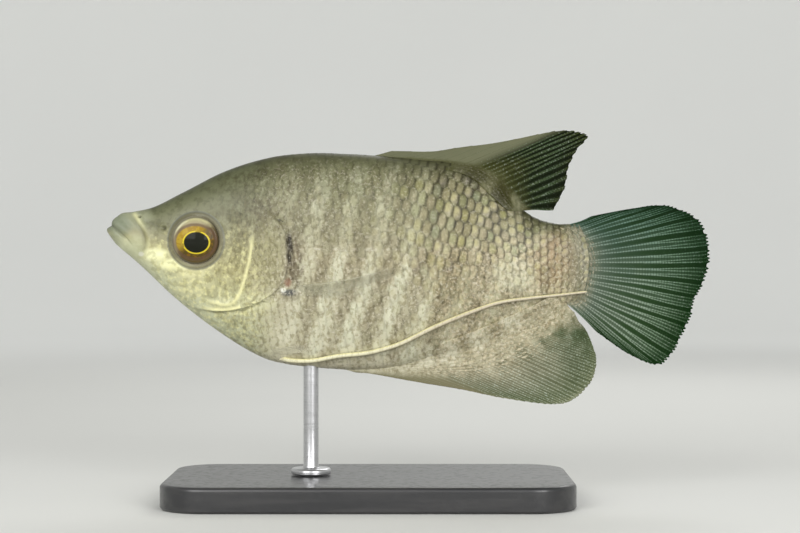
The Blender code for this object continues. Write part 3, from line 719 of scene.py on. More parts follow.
def body_colour(look, place, x, z):
    """The colour of the fish at a place, with its height between belly and back, and a fine noise."""
    height = stored(look, "height")
    coarse = noise(look, place, 0.16, 3.0)
    fine = noise(look, place, 0.9, 3.0)
    wander = height.maths("MAXIMUM", soft(x, -6.0, 6.0) * 0.34) + (coarse - 0.5) * 0.10
    colour = mix(soft(x, -24.0, -34.0), ramp(wander, FLANK_STOPS), ramp(wander, HEAD_STOPS))
    colour, low, blotch = barred(look, place, x, z, coarse, colour)
    lateral = spot(x, z, (-8.0, 49.9), (24.0, 0.45)) * soft(fine, 0.46, 0.58)
    colour = mix(lateral * 0.32, colour, rgb(216, 210, 196))

    warm = spot(x, z, (29.0, 47.5), (6.5, 7.5)) * (0.6 + blotch * 0.6)
    colour = mix(warm * 0.70, colour, rgb(140, 116, 82))
    colour = mix(soft(x, 29.0, 35.0) * 0.85, colour, rgb(118, 118, 98))
    patch = spot(x, z, (20.6, 45.0), (5.6, 4.2)) * (0.5 + fine * 0.8)
    colour = mix(patch * 0.5, colour, rgb(214, 215, 190))
    colour = painted(colour, x, z, FLANK_MARKS)
    colour = painted(colour, x, z, FLANK_SHADES, "MULTIPLY")
    pale_spot = (BASE_SPOT_REACH, 0.15 + blotch * 0.6, rgb(212, 209, 186))
    colour = painted(colour, x, z, [(centre, *pale_spot) for centre in BASE_SPOTS])
    # Darker skin behind the edge of the gill cover, with a painted shadow of the cover laid over it.
    colour = painted(colour, x, z, [
        ((-22.9, 46.8), (2.6, 8.0), (0.25 + blotch * 0.9) * 0.75, rgb(92, 80, 60)),
        ((-23.9, 50.2), (1.0, 4.6), 0.5 + blotch * 0.6, rgb(56, 50, 38)),
    ])
    colour = painted(colour, x, z, BACK_SHADES, "MULTIPLY")
    colour = painted(colour, x, z, [
        ((-24.0, 41.3), (2.2, 0.9), 0.85, rgb(62, 66, 74)),
        ((-29.5, 58.2), (4.5, 2.6), soft(fine, 0.40, 0.55) * 0.55, rgb(92, 84, 60)),
        ((-24.2, 43.3), (1.0, 1.2), 0.5, rgb(146, 84, 66)),
        ((-25.2, 41.8), (0.8, 0.6), 0.85, rgb(236, 236, 226)),
    ])

    colour = face_colour(look, place, x, z, height, colour)
    side = soft(height, 1.0, 0.9)
    smut = soft(noise(look, place, 1.2, 3.0, stretch=(1.4, 1.0, 0.9)), 0.52, 0.38)
    colour = mix(smut * side * soft(x, -44.0, -30.0) * 0.55, colour, (0.45, 0.41, 0.30, 1), "MULTIPLY")
    # Painted glints: small pale dots behind the head, strongest low on the flank.
    painted_glints = soft(noise(look, place, 2.0, 3.0), 0.52, 0.66) * soft(x, -36.0, -24.0) * (0.5 + low * 0.5)
    return mix(painted_glints * side * 0.42, colour, rgb(212, 206, 188)), height, fine


print("spots over the anal fin's base:", len(BASE_SPOTS))

# %% [markdown]
# ## The skin
# The flesh of the fish is one piece from lips to tail root, so one skin stands for the head, jaw, trunk,
# tail stalk and gill covers of the frame and no seam shows. It could be sculpted, but a loft keeps to the
# lines above exactly. Its rings lie closest on the head, where the relief is fine.

# %% Skin mesh
AROUND = 320
NOSE_RINGS, REAR_RINGS = 22, 150
HEAD_STEP, HEAD_END = 0.16, -21.5


def skin_sections():
    """The places of the skin's rings: crowded round the tip of the nose, even and close over the head."""
    nose = SNOUT[0] + NOSE_LENGTH * (1 - np.cos(np.linspace(0, math.pi / 2, NOSE_RINGS)[1:]))
    head = np.arange(nose[-1] + HEAD_STEP, HEAD_END, HEAD_STEP)
    return np.concatenate([nose, head, np.linspace(head[-1] + 0.3, BODY_END, REAR_RINGS)])


def ring_angles(around):
    """Angles round a section, spread so that the steps down the side are even but fine at the crests."""
    share = np.linspace(0, 1, around // 2, endpoint=False)
    level = 0.5 * np.cos(math.pi * share) + 0.5 * (1 - 2 * share)
    right = math.pi - np.arcsin(level)
    down = np.concatenate([right, [1.5 * math.pi]])
    return np.concatenate([down, 3 * math.pi - down[-2:0:-1]])


def skin_grid(x, angle, lift=0.0):
    """Points of the finished skin, with what the mesh stores for its markings."""
    points, out = body_point(x, angle), body_normal(x, angle)
    px, pz = points[..., 0], points[..., 2]
    outward = np.abs(points[..., 1])
    seen = as_seen(px, outward, PICTURE_CENTRE[0]), as_seen(pz, outward, PICTURE_CENTRE[1])
    height, crest, dark = head_relief(*seen)
    flat = 1 - ease(np.abs(out[..., 2]), 0.75, 0.98)
    points = points + out * (height * flat + lift)[..., None]
    far, wide = fit_to_eye(points[..., 0], np.abs(points[..., 1]), points[..., 2])
    near_eye = 1 - ease(far, 6.5, 7.5)
    wide = np.abs(points[..., 1]) * (1 - near_eye) + wide * near_eye
    points[..., 1] = np.sign(points[..., 1]) * wide
    high = (pz - belly(px)) / (back(px) - belly(px))
    return points, {"height": high, "crest": crest * flat, "dark": dark * flat, "eye": far}


sections = skin_sections()
angles = ring_angles(AROUND)
grid, stored_values = skin_grid(sections[:, None], angles[None, :])
tips = {"height": (0.5, 0.5), "crest": (0, 0), "dark": (0, 0), "eye": (20, 80)}
stored_values = {key: np.append(value, tips[key]) for key, value in stored_values.items()}
end_point = (BODY_END + TAIL_BOW, 0, float(levels(BODY_END)[2]))
skin = closed_tube("skin", grid, (SNOUT[0], 0, SNOUT[1]), end_point, stored_values)
print("rings of skin:", len(sections), "points in each:", len(angles))

# %% [markdown]
# ## The finish of the skin
# Skin shows bare on the snout and forehead: smooth, pale green grey, and a little wet. The cheek is cream
# and gold, the bone ridges carry a painted highlight, and the grooves carry painted shade. The relief stored
# its crests and grooves at the mesh's points, so the paint lies exactly on them.

# %% Skin material
def skin_look():
    """The shared colour, the ring round the eye, a painted highlight on crests, painted shade in grooves."""
    made, shader, look, place = new_look(
        "gourami_skin", Specular_IOR_Level=0.3, Coat_Weight=0.12, Coat_Roughness=0.25)
    x, z = seen_in_mm(look, place)
    colour, height, fine = body_colour(look, place, x, z)

    eye = stored(look, "eye")
    grain = noise(look, place, 0.8, 4.0)
    colour = mix(soft(eye, 5.75, 5.45) * 0.8, colour, rgb(98, 94, 72))
    outline = soft(eye, 5.35, 5.6) * soft(eye, 6.0, 5.7)
    colour = mix(outline * 0.6, colour, rgb(98, 100, 92))
    colour = mix(soft(eye, 5.0, 4.75) * 0.6, colour, rgb(112, 106, 88))
    # A painted highlight on the crests of the bone ridges, and painted shade in the slit of the mouth, the
    # folds, the nostrils and the grooves.
    colour = mix(stored(look, "crest") * 0.8, colour, rgb(232, 228, 172))
    colour = mix(stored(look, "dark") * 0.8, colour, rgb(52, 50, 38))
    feed(shader, "Base Color", colour)
    feed(shader, "Roughness", 0.36 + grain * 0.16)
    bump(shader, fine * 0.6 + grain * 0.4, 0.12, 0.5)
    return made


SKIN = skin_look()
FLESH_NODES = ("head", "lower_jaw", "trunk", "tail_stalk", "gill_cover_left", "gill_cover_right")
settle(skin, SKIN, "head_skin", *FLESH_NODES)

# %% [markdown]
# ## The scales
# Each scale is a thin horny plate, rooted under the one before and free at its rear edge. A particle
# system would scatter copies, but the model is kept as plain meshes. So the plates are one array:
# a small closed plate, bent over the body at every point of a lattice. The lattice is the photograph's:
# near-upright columns, each a little lower than the one before, shrinking towards the tail.

# %% Places on the flank by arc length
ARC_X = np.linspace(-58.0, BODY_END, 230)
ARC_ANGLE = np.linspace(0.5 * math.pi, 1.5 * math.pi, 361)
ARC_SHARE = np.linspace(-1, 1, 161)


def arc_tables():
    """For each section: the length of its side above and below the widest level, and angles by arc."""
    ring = body_point(ARC_X[:, None], ARC_ANGLE[None, :])
    step = np.linalg.norm(np.diff(ring, axis=1), axis=-1)
    arc = np.concatenate([np.zeros((len(ARC_X), 1)), np.cumsum(step, axis=1)], axis=1)
    middle = arc[:, len(ARC_ANGLE) // 2][:, None]
    upper, lower = middle[:, 0], (arc[:, -1:] - middle)[:, 0]
    share = np.where(arc <= middle, (middle - arc) / middle, (middle - arc) / (arc[:, -1:] - middle))
    table = np.stack([np.interp(ARC_SHARE, row[::-1], ARC_ANGLE[::-1]) for row in share])
    return upper, lower, table


ARC_UP, ARC_DOWN, ARC_TABLE = arc_tables()


def flank_angle(x, s):
    """The angle of a point s millimetres above the widest level, and past a crest on the other side."""
    reach = np.where(s > 0, np.interp(x, ARC_X, ARC_UP), np.interp(x, ARC_X, ARC_DOWN))
    share = s / reach
    share = np.where(share > 1, 2 - share, np.where(share < -1, -2 - share, share))
    column = np.clip((x - ARC_X[0]) / (ARC_X[1] - ARC_X[0]), 0, len(ARC_X) - 1.001)
    row = np.clip((share + 1) / (ARC_SHARE[1] - ARC_SHARE[0]), 0, len(ARC_SHARE) - 1.001)
    i, j = column.astype(int), row.astype(int)
    u, v = column - i, row - j
    low = ARC_TABLE[i, j] * (1 - v) + ARC_TABLE[i, j + 1] * v
    high = ARC_TABLE[i + 1, j] * (1 - v) + ARC_TABLE[i + 1, j + 1] * v
    angle = low * (1 - u) + high * u
    crossed = np.abs(s) > reach
    return np.where(crossed, np.where(s > 0, math.pi - angle, 3 * math.pi - angle), angle)


print(f"side of the deepest section, back to belly: {float((ARC_UP + ARC_DOWN).max()):.1f} mm")

# %% [markdown]
# ## The lattice of the scales
# On the fish the scales stand in near-upright columns, each a little lower than the one before, so that a
# scale covers the gap between two. They could be scattered evenly, but their size and slant change from
# nape to tail. So three lines over the length give the column's width, the row's height and the drop, and
# other functions say where a scale lies deep in the skin and where it stands clear.

# %% The lattice
COLUMN_STEP = smooth_line([
    (-46, 1.1), (-28, 1.4), (-16, 1.6), (-4, 1.7), (4, 1.62), (14, 1.5), (22, 1.48), (27, 1.3), (31, 1.02),
    (36, 0.85),
])
ROW_STEP = smooth_line([
    (-46, 1.4), (-28, 1.9), (-16, 2.4), (-4, 2.8), (8, 2.95), (14, 2.45), (19, 1.95), (27, 1.75), (32, 1.4),
    (36, 1.15),
])
COLUMN_DROP = smooth_line([(-46, 0.3), (0, 0.28), (8, 0.2), (12, 0.02), (17, 0.02), (22, 0.3), (36, 0.3)])
COLUMN_LEAN = 0.15


def lattice(start, end, column_step, row_step, rows):
    """Centres of scales in the plane of length and arc, with the size of each cell."""
    found, x, drop = [], start, 0.0
    while x < end:
        step, pitch = float(column_step(x)), float(row_step(x))
        lean = COLUMN_LEAN * (1 - float(ease(x, 14, 28)))
        for row in range(-rows, rows + 1):
            s = (row - drop % 1) * pitch
            found.append((x - s * lean, s, step, pitch))
        x += step
        drop += float(COLUMN_DROP(x))
    return np.array(found)


print(f"a scale over the belly: {float(COLUMN_STEP(0)):.2f} mm long and {float(ROW_STEP(0)):.2f} mm high")

# %% Which cells carry a scale
def on_the_body(cells):
    """The cells that lie on the body, with where they are in side view and how high between its lines."""
    x, s = cells[:, 0], cells[:, 1]
    inside = (s < np.interp(x, ARC_X, ARC_UP) + 0.2) & (s > -np.interp(x, ARC_X, ARC_DOWN) - 0.2)
    cells = cells[inside & (x < BODY_END + 0.2) & (x > ARC_X[0] + 1)]
    place = body_point(cells[:, 0], flank_angle(cells[:, 0], cells[:, 1]))
    x, z = place[:, 0], place[:, 2]
    return cells, x, z, (z - belly(x)) / (back(x) - belly(x))


def body_scales():
    """The scales behind the head. They stand clear on the rear of the back and fade out on the nape."""
    cells, x, z, high = on_the_body(lattice(-46.0, BODY_END + 4, COLUMN_STEP, ROW_STEP, 26))
    edge, run = line_distance(x, z, GILL_EDGE)
    nape = (run < 0.02) & (z > 58.2)
    kept = (edge > 0.35) | nape
    out = np.where(nape, ease(x, -42.0, -27.0), ease(x, -46.0, -33.0))
    show = 0.16 + 0.14 * ease(x, -24, -8) + 0.70 * ease(x, -9, 7) * ease(high, 0.32, 0.62)
    show = show + (0.62 - show) * ease(x, 20, 31)
    lift = (0.07 + 0.15 * show) * (1 - 0.6 * ease(np.abs(high - 0.5), 0.4, 0.5))
    sunk = 0.22 * (1 - out) + 0.1 * ease(x, 30.5, 33.5)
    kept &= out > 0.02
    return np.column_stack([cells, lift, sunk, show * out])[kept]


def cheek_scales():
    """The small flat scales of the cheek and gill cover."""
    step, pitch = smooth_line([(-50, 0.95), (-20, 1.05)]), smooth_line([(-50, 1.15), (-20, 1.35)])
    cells, x, z, high = on_the_body(lattice(-44.0, -22.0, step, pitch, 30))
    edge, run = line_distance(x, z, GILL_EDGE)
    ridge, _ = line_distance(x, z, CHEEK_RIDGE)
    eye = np.hypot(x - EYE_CENTRE[0], z - EYE_CENTRE[2])
    kept = (edge < -0.9) & (np.abs(ridge) > 1.25) & (eye > 6.4) & (z < 60.5) & (z > 37.5)
    out = ease(x, -44.0, -38.0) * ease(eye, 6.2, 8.0) * (1 - ease(z, 55.0, 60.0))
    kept &= out > 0.05
    return np.column_stack([cells, 0.06 + 0 * x, 0.12 * (1 - out), 0.12 * out])[kept]


body_cells, cheek_cells = body_scales(), cheek_scales()
print("scales on one side of the body:", len(body_cells), "and of the head:", len(cheek_cells))

# %% [markdown]
# ## One scale, and the coat made of them
# One scale is a rounded plate a tenth of a millimetre thick, a little domed, with its root down in the skin
# and its free edge up. It could be one mesh used thousands of times, but the body curves under each. So a
# coat bends a plate of its own over every cell, and turns, sizes and lifts it a little by seeded chance.

# %% One scale
PLATE_STEPS = 6
PLATE_POWER = 2.05
PLATE_WALL = 1.14
PATCH_TOP, PATCH_UNDER = 0.62, 0.13


def plate_outline():
    """A square grid drawn into a rounded plate, as places from -1 to 1 along and across the scale."""
    a, b = np.meshgrid(*[np.linspace(-1, 1, PLATE_STEPS + 1)] * 2, indexing="ij")
    along_it, across_it = a * np.sqrt(1 - b * b / 2), b * np.sqrt(1 - a * a / 2)
    angle = np.arctan2(across_it, along_it)
    corner = np.abs(np.cos(angle)) ** PLATE_POWER + np.abs(np.sin(angle)) ** PLATE_POWER
    return along_it * corner ** (-1 / PLATE_POWER), across_it * corner ** (-1 / PLATE_POWER)


PLATE_RIM = grid_rim(PLATE_STEPS + 1, PLATE_STEPS + 1)


def plate_faces():
    """The faces of one plate, and the place of each corner on its patch of the map."""
    plate_x, plate_y = plate_outline()
    disc = np.stack([plate_x.reshape(-1), plate_y.reshape(-1)], -1)
    rim, top_count = PLATE_RIM, plate_x.size
    quads, _, _ = grid_quads(PLATE_STEPS + 1, PLATE_STEPS + 1)
    order = np.arange(len(rim))
    low, after = top_count + order, np.roll(order, -1)
    edge = np.stack([rim[after], rim[order], low[order], low[after]], -1)
    centre = np.full(len(rim), top_count + len(rim))
    fan = np.stack([centre, low[after], low[order]], -1)
    first, second = disc[rim], disc[rim[after]]
    wall = np.stack([second, first, first * PLATE_WALL, second * PLATE_WALL], 1)
    beneath = np.stack([np.zeros((len(rim), 2)), second, first], 1) * PATCH_UNDER + [0.86, 0]
    return np.concatenate([quads, edge]), np.concatenate([disc[quads], wall]) * PATCH_TOP, fan, beneath


print("faces of one scale:", len(plate_faces()[0]) + len(plate_faces()[2]))

# %% The coat
PLATE_OVERLAP = (2.4, 1.34)
PLATE_THICKNESS = 0.1
PLATE_LEAN = 0.16
SIZE_SPREAD, TILT_SPREAD, PLACE_SPREAD, LIFT_SPREAD = 0.035, 0.06, 0.03, 0.1
PATCH_SHARE, PATCH_MOST = 0.46, 0.01
ROOT_DEPTH, PLATE_DOME = 0.4, 0.35


def coat(name, cells, side, surface, seed, bounds):
    """Closed plates over a surface. A cell is its two places, two sizes, its lift, how deep it is sunk
    and how clearly it shows; bounds are the places that the map runs between."""
    draw = np.random.default_rng(seed)
    count = len(cells)
    px, py = (np.concatenate([c, c[PLATE_RIM], [0.0]]) for c in map(np.ravel, plate_outline()))
    under = (np.arange(len(px)) >= (PLATE_STEPS + 1) ** 2) * 1.0
    u0, v0, long, high, lift, sunk, show = cells.T[:, :, None]
    size = draw.normal(1.0, SIZE_SPREAD, (count, 1))
    tilt = draw.normal(0, TILT_SPREAD, (count, 1)) - PLATE_LEAN * ease(u0, -12, 6)
    along_it = long * size * PLATE_OVERLAP[0] / 2 * px
    across_it = high * size * PLATE_OVERLAP[1] / 2 * py
    u = u0 + draw.normal(0, PLACE_SPREAD, (count, 1)) * long
    u = u + along_it * np.cos(tilt) - across_it * np.sin(tilt)
    v = v0 + draw.normal(0, PLACE_SPREAD, (count, 1)) * high
    v = v + along_it * np.sin(tilt) + across_it * np.cos(tilt)
    share = (px + 1) / 2
    rise = -ROOT_DEPTH + (1 + ROOT_DEPTH) * share + PLATE_DOME * (1 - py ** 2) * share
    rise = lift * rise * draw.normal(1, LIFT_SPREAD, (count, 1)) - sunk
    rise = rise - under * PLATE_THICKNESS * np.minimum(long / 1.6, 1)
    points, heights = surface(u, v, rise, side)

    quads, quad_patch, fan, fan_patch = plate_faces()
    offset = (np.arange(count) * len(px))[:, None, None]
    spread = np.array(bounds[1]) - np.array(bounds[0])
    root = (cells[:, :2] - np.array(bounds[0])) / spread
    patch = np.minimum(cells[:, 2:4] / spread * PATCH_SHARE, PATCH_MOST)
    quad_map = root[:, None, None] + quad_patch[None] * patch[:, None, None]
    fan_map = root[:, None, None] + fan_patch[None] * patch[:, None, None]
    quads, fan = quads[None] + offset, fan[None] + offset
    if side < 0:
        quads, quad_map = quads[:, :, ::-1], quad_map[:, :, ::-1]
        fan, fan_map = fan[:, :, ::-1], fan_map[:, :, ::-1]
    values = {
        "height": heights, "share": np.broadcast_to(share, u.shape), "across": np.broadcast_to(py, u.shape),
        "tint": np.repeat(draw.random(count), len(px)), "hue": np.repeat(draw.random(count), len(px)),
        "show": np.broadcast_to(show, u.shape),
    }
    parts = points.reshape(-1, 3), quads.reshape(-1, 4), quad_map, fan.reshape(-1, 3), fan_map
    return build_mesh(name, *parts, values, sharp=50)


def over_body(u, v, rise, side):
    """Points over the skin at places of length and arc, on the right side or mirrored to the left."""
    u = np.minimum(u, BODY_END)
    angle = flank_angle(u, v)
    points, values = skin_grid(u, angle)
    points = points + body_normal(u, angle) * rise[..., None]
    points[..., 1] *= side
    return points, values["height"]


print("triangles in one scale:", (PLATE_STEPS * PLATE_STEPS + len(PLATE_RIM)) * 2 + len(PLATE_RIM))

# %% [markdown]
# ## The finish of the scales
# A scale is silver where its face shows, with a painted highlight and sheen, and dusky along its edges, and
# no two have quite the same sheen: some are pinkish, some yellow green, a few grey violet. A colour for each
# could be drawn by hand, but the plates store where each point lies on its scale, how clearly it shows, and
# two random numbers a scale. The shader turns these into the painted highlight and sheen of the centre, the
# dusky rim with painted shade at its root, and the tint.

# %% Scale material
def scale_look():
    """The shared colour, a painted highlight and sheen at the centre, a dusky rim and painted root shade,
    and every scale's own tint.
    """
    made, shader, look, place = new_look(
        "gourami_scale", Specular_IOR_Level=0.3, Coat_Weight=0.06, Coat_Roughness=0.3)
    x, z = seen_in_mm(look, place)
    colour, height, fine = body_colour(look, place, x, z)
    share, across, show = stored(look, "share"), stored(look, "across"), stored(look, "show")
    tint, hue = stored(look, "tint"), stored(look, "hue")

    colour = mix(tint * 0.34, colour, (0.60, 0.57, 0.48, 1), "MULTIPLY")
    sheen = ramp(hue, [
        (0.00, rgb(160, 154, 122)), (0.30, rgb(156, 146, 130)), (0.50, rgb(160, 157, 100)),
        (0.72, rgb(136, 148, 124)), (0.86, rgb(176, 168, 146)), (1.00, rgb(150, 144, 146)),
    ])
    # A painted highlight and painted sheen on the centre of each scale, and a painted yellow glint on a few.
    behind = (share - 0.72) / 0.3
    centre = soft(behind * behind + across * across / 0.7, 1.0, 0.0)
    lit = centre * soft(height, 0.99, 0.82) * show
    colour = mix(lit * (0.1 + fine * 0.5), colour, sheen)
    colour = mix(lit * (0.3 + fine), colour, (1.16, 1.14, 1.06, 1), "MULTIPLY")
    glint = spot(share, across, (0.66, 0.2), (0.24, 0.6)) * soft(hue, 0.72, 0.95) * soft(height, 0.94, 0.8)
    colour = mix(glint * show * (0.1 + fine * 0.5), colour, rgb(188, 182, 118))
    # A dark rim: dusky pigment along the edges, and painted shade at the root, where it dips under the scale
    # in front.
    edge = soft(across * across, 0.42, 0.95)
    edge = edge.maths("MAXIMUM", soft(share, 0.83, 0.97))
    edge = edge.maths("MAXIMUM", soft(share, 0.62, 0.52) * 0.7) * (0.72 + fine * 0.5)
    colour = mix(edge * (0.06 + show * 0.74), colour, (0.22, 0.20, 0.12, 1), "MULTIPLY")
    feed(shader, "Base Color", colour)
    feed(shader, "Roughness", 0.36 + fine * 0.2)
    feed(shader, "Metallic", lit * 0.12)
    bump(shader, fine, 0.06, 0.4)
    return made


SCALE = scale_look()
BODY_MAP = ((-62.0, -32.0), (38.0, 32.0))
FRONT_REAR = -2.0
in_front = body_cells[:, 0] < FRONT_REAR
for side, word in ((1, "right"), (-1, "left")):
    for part, chosen in (("front", in_front), ("rear", ~in_front)):
        piece = coat(f"scales_{word}_{part}", body_cells[chosen], side, over_body, 7, BODY_MAP)
        settle(piece, SCALE, "body_skin")
    settle(coat(f"scales_{word}_cheek", cheek_cells, side, over_body, 8, BODY_MAP), SCALE, "head_skin")

# %% [markdown]
# ## The eyes
# The eye is the part that a visitor meets. It is a shallow dome: a black pupil inside a thin yellow ring,
# an amber iris that darkens behind and below, a cream crescent above it and a grey skin round all. The
# dome could carry a picture, but rings and angles about the pupil give the same and stay sharp.

# %% Eye mesh
EYE_RINGS, EYE_AROUND = 44, 96
LENS_BULGE, EYE_BACK = 0.25, 0.8


def eye_dome(name, side):
    """A flat-backed dome: a clear bulge over the iris, a shallow groove round it, and the white behind."""
    share = np.linspace(0, 1, EYE_RINGS + 1)[1:]
    turn = np.linspace(0, 2 * math.pi, EYE_AROUND, endpoint=False)
    far = share * EYE_RADII[0]
    bulge = LENS_BULGE * (1 - ease(far, 0, 4.0)) - 0.05 * bell(far - 3.9, 0.2)
    x = EYE_CENTRE[0] + far[:, None] * np.cos(turn)
    z = EYE_CENTRE[2] + far[:, None] * np.sin(turn)
    y = np.broadcast_to((eye_profile(far) + bulge)[:, None], x.shape)
    grid = np.stack([x, side * y, z], -1)
    if side > 0:
        grid = grid[:, ::-1]
    front = (EYE_CENTRE[0], side * (EYE_CENTRE[1] + EYE_RADII[1] + LENS_BULGE), EYE_CENTRE[2])
    rear = (EYE_CENTRE[0], side * (EYE_CENTRE[1] - EYE_BACK), EYE_CENTRE[2])
    return closed_tube(name, grid, front, rear)


print("points of one eye:", EYE_RINGS * EYE_AROUND + 2)

# %% Eye material
PUPIL = (-41.75, 51.2)
PUPIL_RADII = (2.4, 2.0)
GOLD_CENTRE, GOLD_RADII = (-42.0, 51.35), (3.75, 3.05)


def eye_look():
    """Rings about the pupil, each with its own colour, and shades by how far up and forward they lie."""
    made, shader, look, place = new_look(
        "gourami_eye", Roughness=0.5, Specular_IOR_Level=0.1, Coat_Weight=0.12, Coat_Roughness=0.08)
    x = look.node("ShaderNodeSeparateXYZ", {}, {0: place})
    z = x.other(2)

    def ring(centre, radii):
        """How far out a point lies, where the ring itself is 1."""
        wide, high = (x - centre[0]) / radii[0], (z - centre[1]) / radii[1]
        return (wide * wide + high * high) ** 0.5

    pupil, gold = ring(PUPIL, PUPIL_RADII), ring(GOLD_CENTRE, GOLD_RADII)
    far_x, far_z = x - EYE_CENTRE[0], z - EYE_CENTRE[2]
    far = ring((EYE_CENTRE[0], EYE_CENTRE[2]), (1.0, 1.0))
    streaks = noise(look, place, 1.3, 3.0)
    hoops = (far * 9.0 + streaks * 5.0).maths("COSINE") * 0.5 + 0.5
    lean = far_z * 0.62 - far_x * 0.5 + (streaks - 0.5) * 1.2
    upper = soft(lean, -0.6, 1.4)
    iris = mix(upper, rgb(82, 68, 34), rgb(160, 151, 120))
    iris = mix(upper * soft(far, 3.6, 4.0) * 0.6, iris, rgb(184, 180, 132))
    arc = soft(far_z * 0.3 - far_x * 0.9, 2.2, 3.6) * soft(far, 4.7, 4.3) * soft(far, 3.8, 4.1)
    iris = mix(arc * 0.7, iris, rgb(206, 202, 170))
    iris = mix(hoops * 0.25, iris, rgb(104, 94, 80))
    iris = mix(soft(far, 4.15, 4.6) * 0.8, iris, rgb(92, 90, 77))
    iris = mix(soft(gold, 1.26, 1.10) * 0.75, iris, rgb(92, 70, 52))
    amber = mix(soft(lean, -0.5, 1.3), rgb(76, 62, 26), rgb(164, 138, 46))
    amber = mix(soft(streaks, 0.46, 0.62) * 0.5, amber, rgb(128, 92, 22))
    iris = mix(soft(gold, 1.06, 0.94), iris, amber)
    thin = soft(pupil, 1.17, 1.10) * soft(streaks + soft(lean, 0.5, -1.0) * 0.3, 0.36, 0.5)
    colour = mix(thin * 0.9, iris, rgb(206, 186, 44))
    colour = mix(soft(pupil, 1.04, 0.98), colour, rgb(20, 22, 12))
    feed(shader, "Base Color", colour)
    return made


EYE = eye_look()
for side, word in ((1, "right"), (-1, "left")):
    settle(eye_dome(f"eye_dome_{word}", side), EYE, "eye", f"eye_{word}")

# %% [markdown]
# ## The fins
# A fin is a fan of jointed rays with skin between them, and towards its edge each ray forks once or twice.
# Rays could be separate rods, but in a real fin skin runs over ray and gap alike. So each fin is one closed
# sheet whose thickness swells over every branch. The guide rays give its outline, as in the solids.

# %% Guide rays
DORSAL_SPINES = [
    ((-9.5, 68.1), (-3.5, 69.3)), ((-3.5, 67.9), (3.7, 69.5)), ((1.1, 67.6), (9.05, 70.0)),
    ((5.5, 67.3), (16.2, 71.0)), ((9.5, 66.5), (25.1, 72.9)),
]
DORSAL_RAYS = [
    ((10.6, 66.5), (26.2, 72.9)), ((12.8, 65.8), (31.1, 73.5)), ((14.6, 64.9), (33.9, 73.4)),
    ((16.0, 63.8), (35.5, 72.2)), ((17.6, 62.3), (33.3, 69.6)), ((19.4, 60.5), (31.7, 66.1)),
    ((21.0, 58.9), (30.9, 62.1)), ((22.6, 57.6), (28.6, 57.8)),
]
ANAL_SPINES = [
    ((-16.4, 26.9), (-9.5, 25.5)), ((-12.2, 26.9), (-1.9, 24.2)), ((-7.9, 26.9), (5.0, 22.9)),
    ((-3.5, 27.1), (11.6, 21.7)), ((0.9, 27.7), (18.6, 20.35)),
]
ANAL_RAYS = [
    ((1.7, 27.8), (20.0, 20.2)), ((6.1, 28.9), (28.2, 19.0)), ((11.0, 30.6), (32.7, 20.1)),
    ((16.0, 32.6), (36.3, 23.9)), ((19.6, 34.2), (37.2, 27.7)), ((23.2, 35.8), (36.5, 30.8)),
    ((27.0, 37.3), (35.3, 33.5)), ((29.6, 38.4), (33.6, 35.6)), ((31.2, 39.0), (32.5, 37.2)),
]
TAIL_RAYS = [
    ((31.2, 54.7), (36.4, 56.4)), ((31.6, 53.9), (44.0, 58.1)), ((32.0, 52.9), (49.9, 58.9)),
    ((32.5, 51.6), (54.6, 57.7)), ((32.9, 50.2), (58.2, 55.5)), ((33.3, 48.6), (59.8, 51.7)),
    ((33.4, 47.0), (59.9, 47.4)), ((33.4, 45.6), (58.6, 43.2)), ((33.3, 44.3), (56.8, 40.0)),
    ((33.1, 43.0), (56.0, 36.2)), ((32.9, 42.0), (54.2, 32.8)), ((32.7, 41.1), (52.4, 29.3)),
    ((32.4, 40.2), (49.3, 26.7)), ((32.1, 39.4), (43.9, 28.9)), ((31.8, 38.7), (37.7, 33.4)),
]
PECTORAL_RAYS = [
    ((-24.3, 6.6, 42.8), (-1.5, 18.5, 46.8)), ((-24.2, 6.6, 42.1), (-0.3, 15.8, 46.2)),
    ((-24.1, 6.6, 41.4), (-2.5, 12.8, 44.9)), ((-24.1, 6.6, 40.8), (-7.5, 11.0, 42.9)),
]
PECTORAL_SAG = 2.0
PELVIC_RAYS = [
    ((-27.4, 30.3), (-20.6, 31.1)), ((-27.2, 29.8), (-19.6, 30.3)), ((-27.0, 29.3), (-20.4, 29.6)),
]
PELVIC_ROOT, PELVIC_LIFT, PELVIC_SAG = 0.3, 1.0, 0.5


print("guide rays of the tail fin:", len(TAIL_RAYS), "and of the rear dorsal fin:", len(DORSAL_RAYS))

# %% Rays over a fin
def in_space(point):
    """A point of the side view, on the middle plane, or a point in space as it is."""
    return point if len(point) == 3 else (point[0], 0.0, point[1])


def ray_field(place, v, spacing, rays, forks, width):
    """How near each point of a fin lies to the crest of a ray or a branch of one, from 0 to 1. The forks
    are the first ray that forks, and where and how widely it does so the first and the second time."""
    best = np.zeros(place.shape)
    forked = ease(place, forks[0] - 1, forks[0] + 1)
    spread = [wide * ease(v, start, start + 0.5) * forked for start, wide in forks[1:]]
    thin = width * (1 - 0.35 * v) / spacing
    for first in (-1, 1):
        for second in (-1, 1):
            branch = first * spread[0] + second * spread[1]
            for step in (0, 1):
                centre = np.floor(place) + step + branch
                centre = np.clip(centre, 0, rays - 1)
                best = np.maximum(best, np.sqrt(np.clip(1 - ((place - centre) / thin) ** 2, 0, 1)))
    return best


print("a point of the side view, in space:", in_space(TAIL_RAYS[0][0]))

# %% One fin
RIPPLE_WAVES, FRAY_WAVES = 17, 29
WORN_STEPS, GAP_WIDTH = 4, 2.2
END_FADE = 2.6


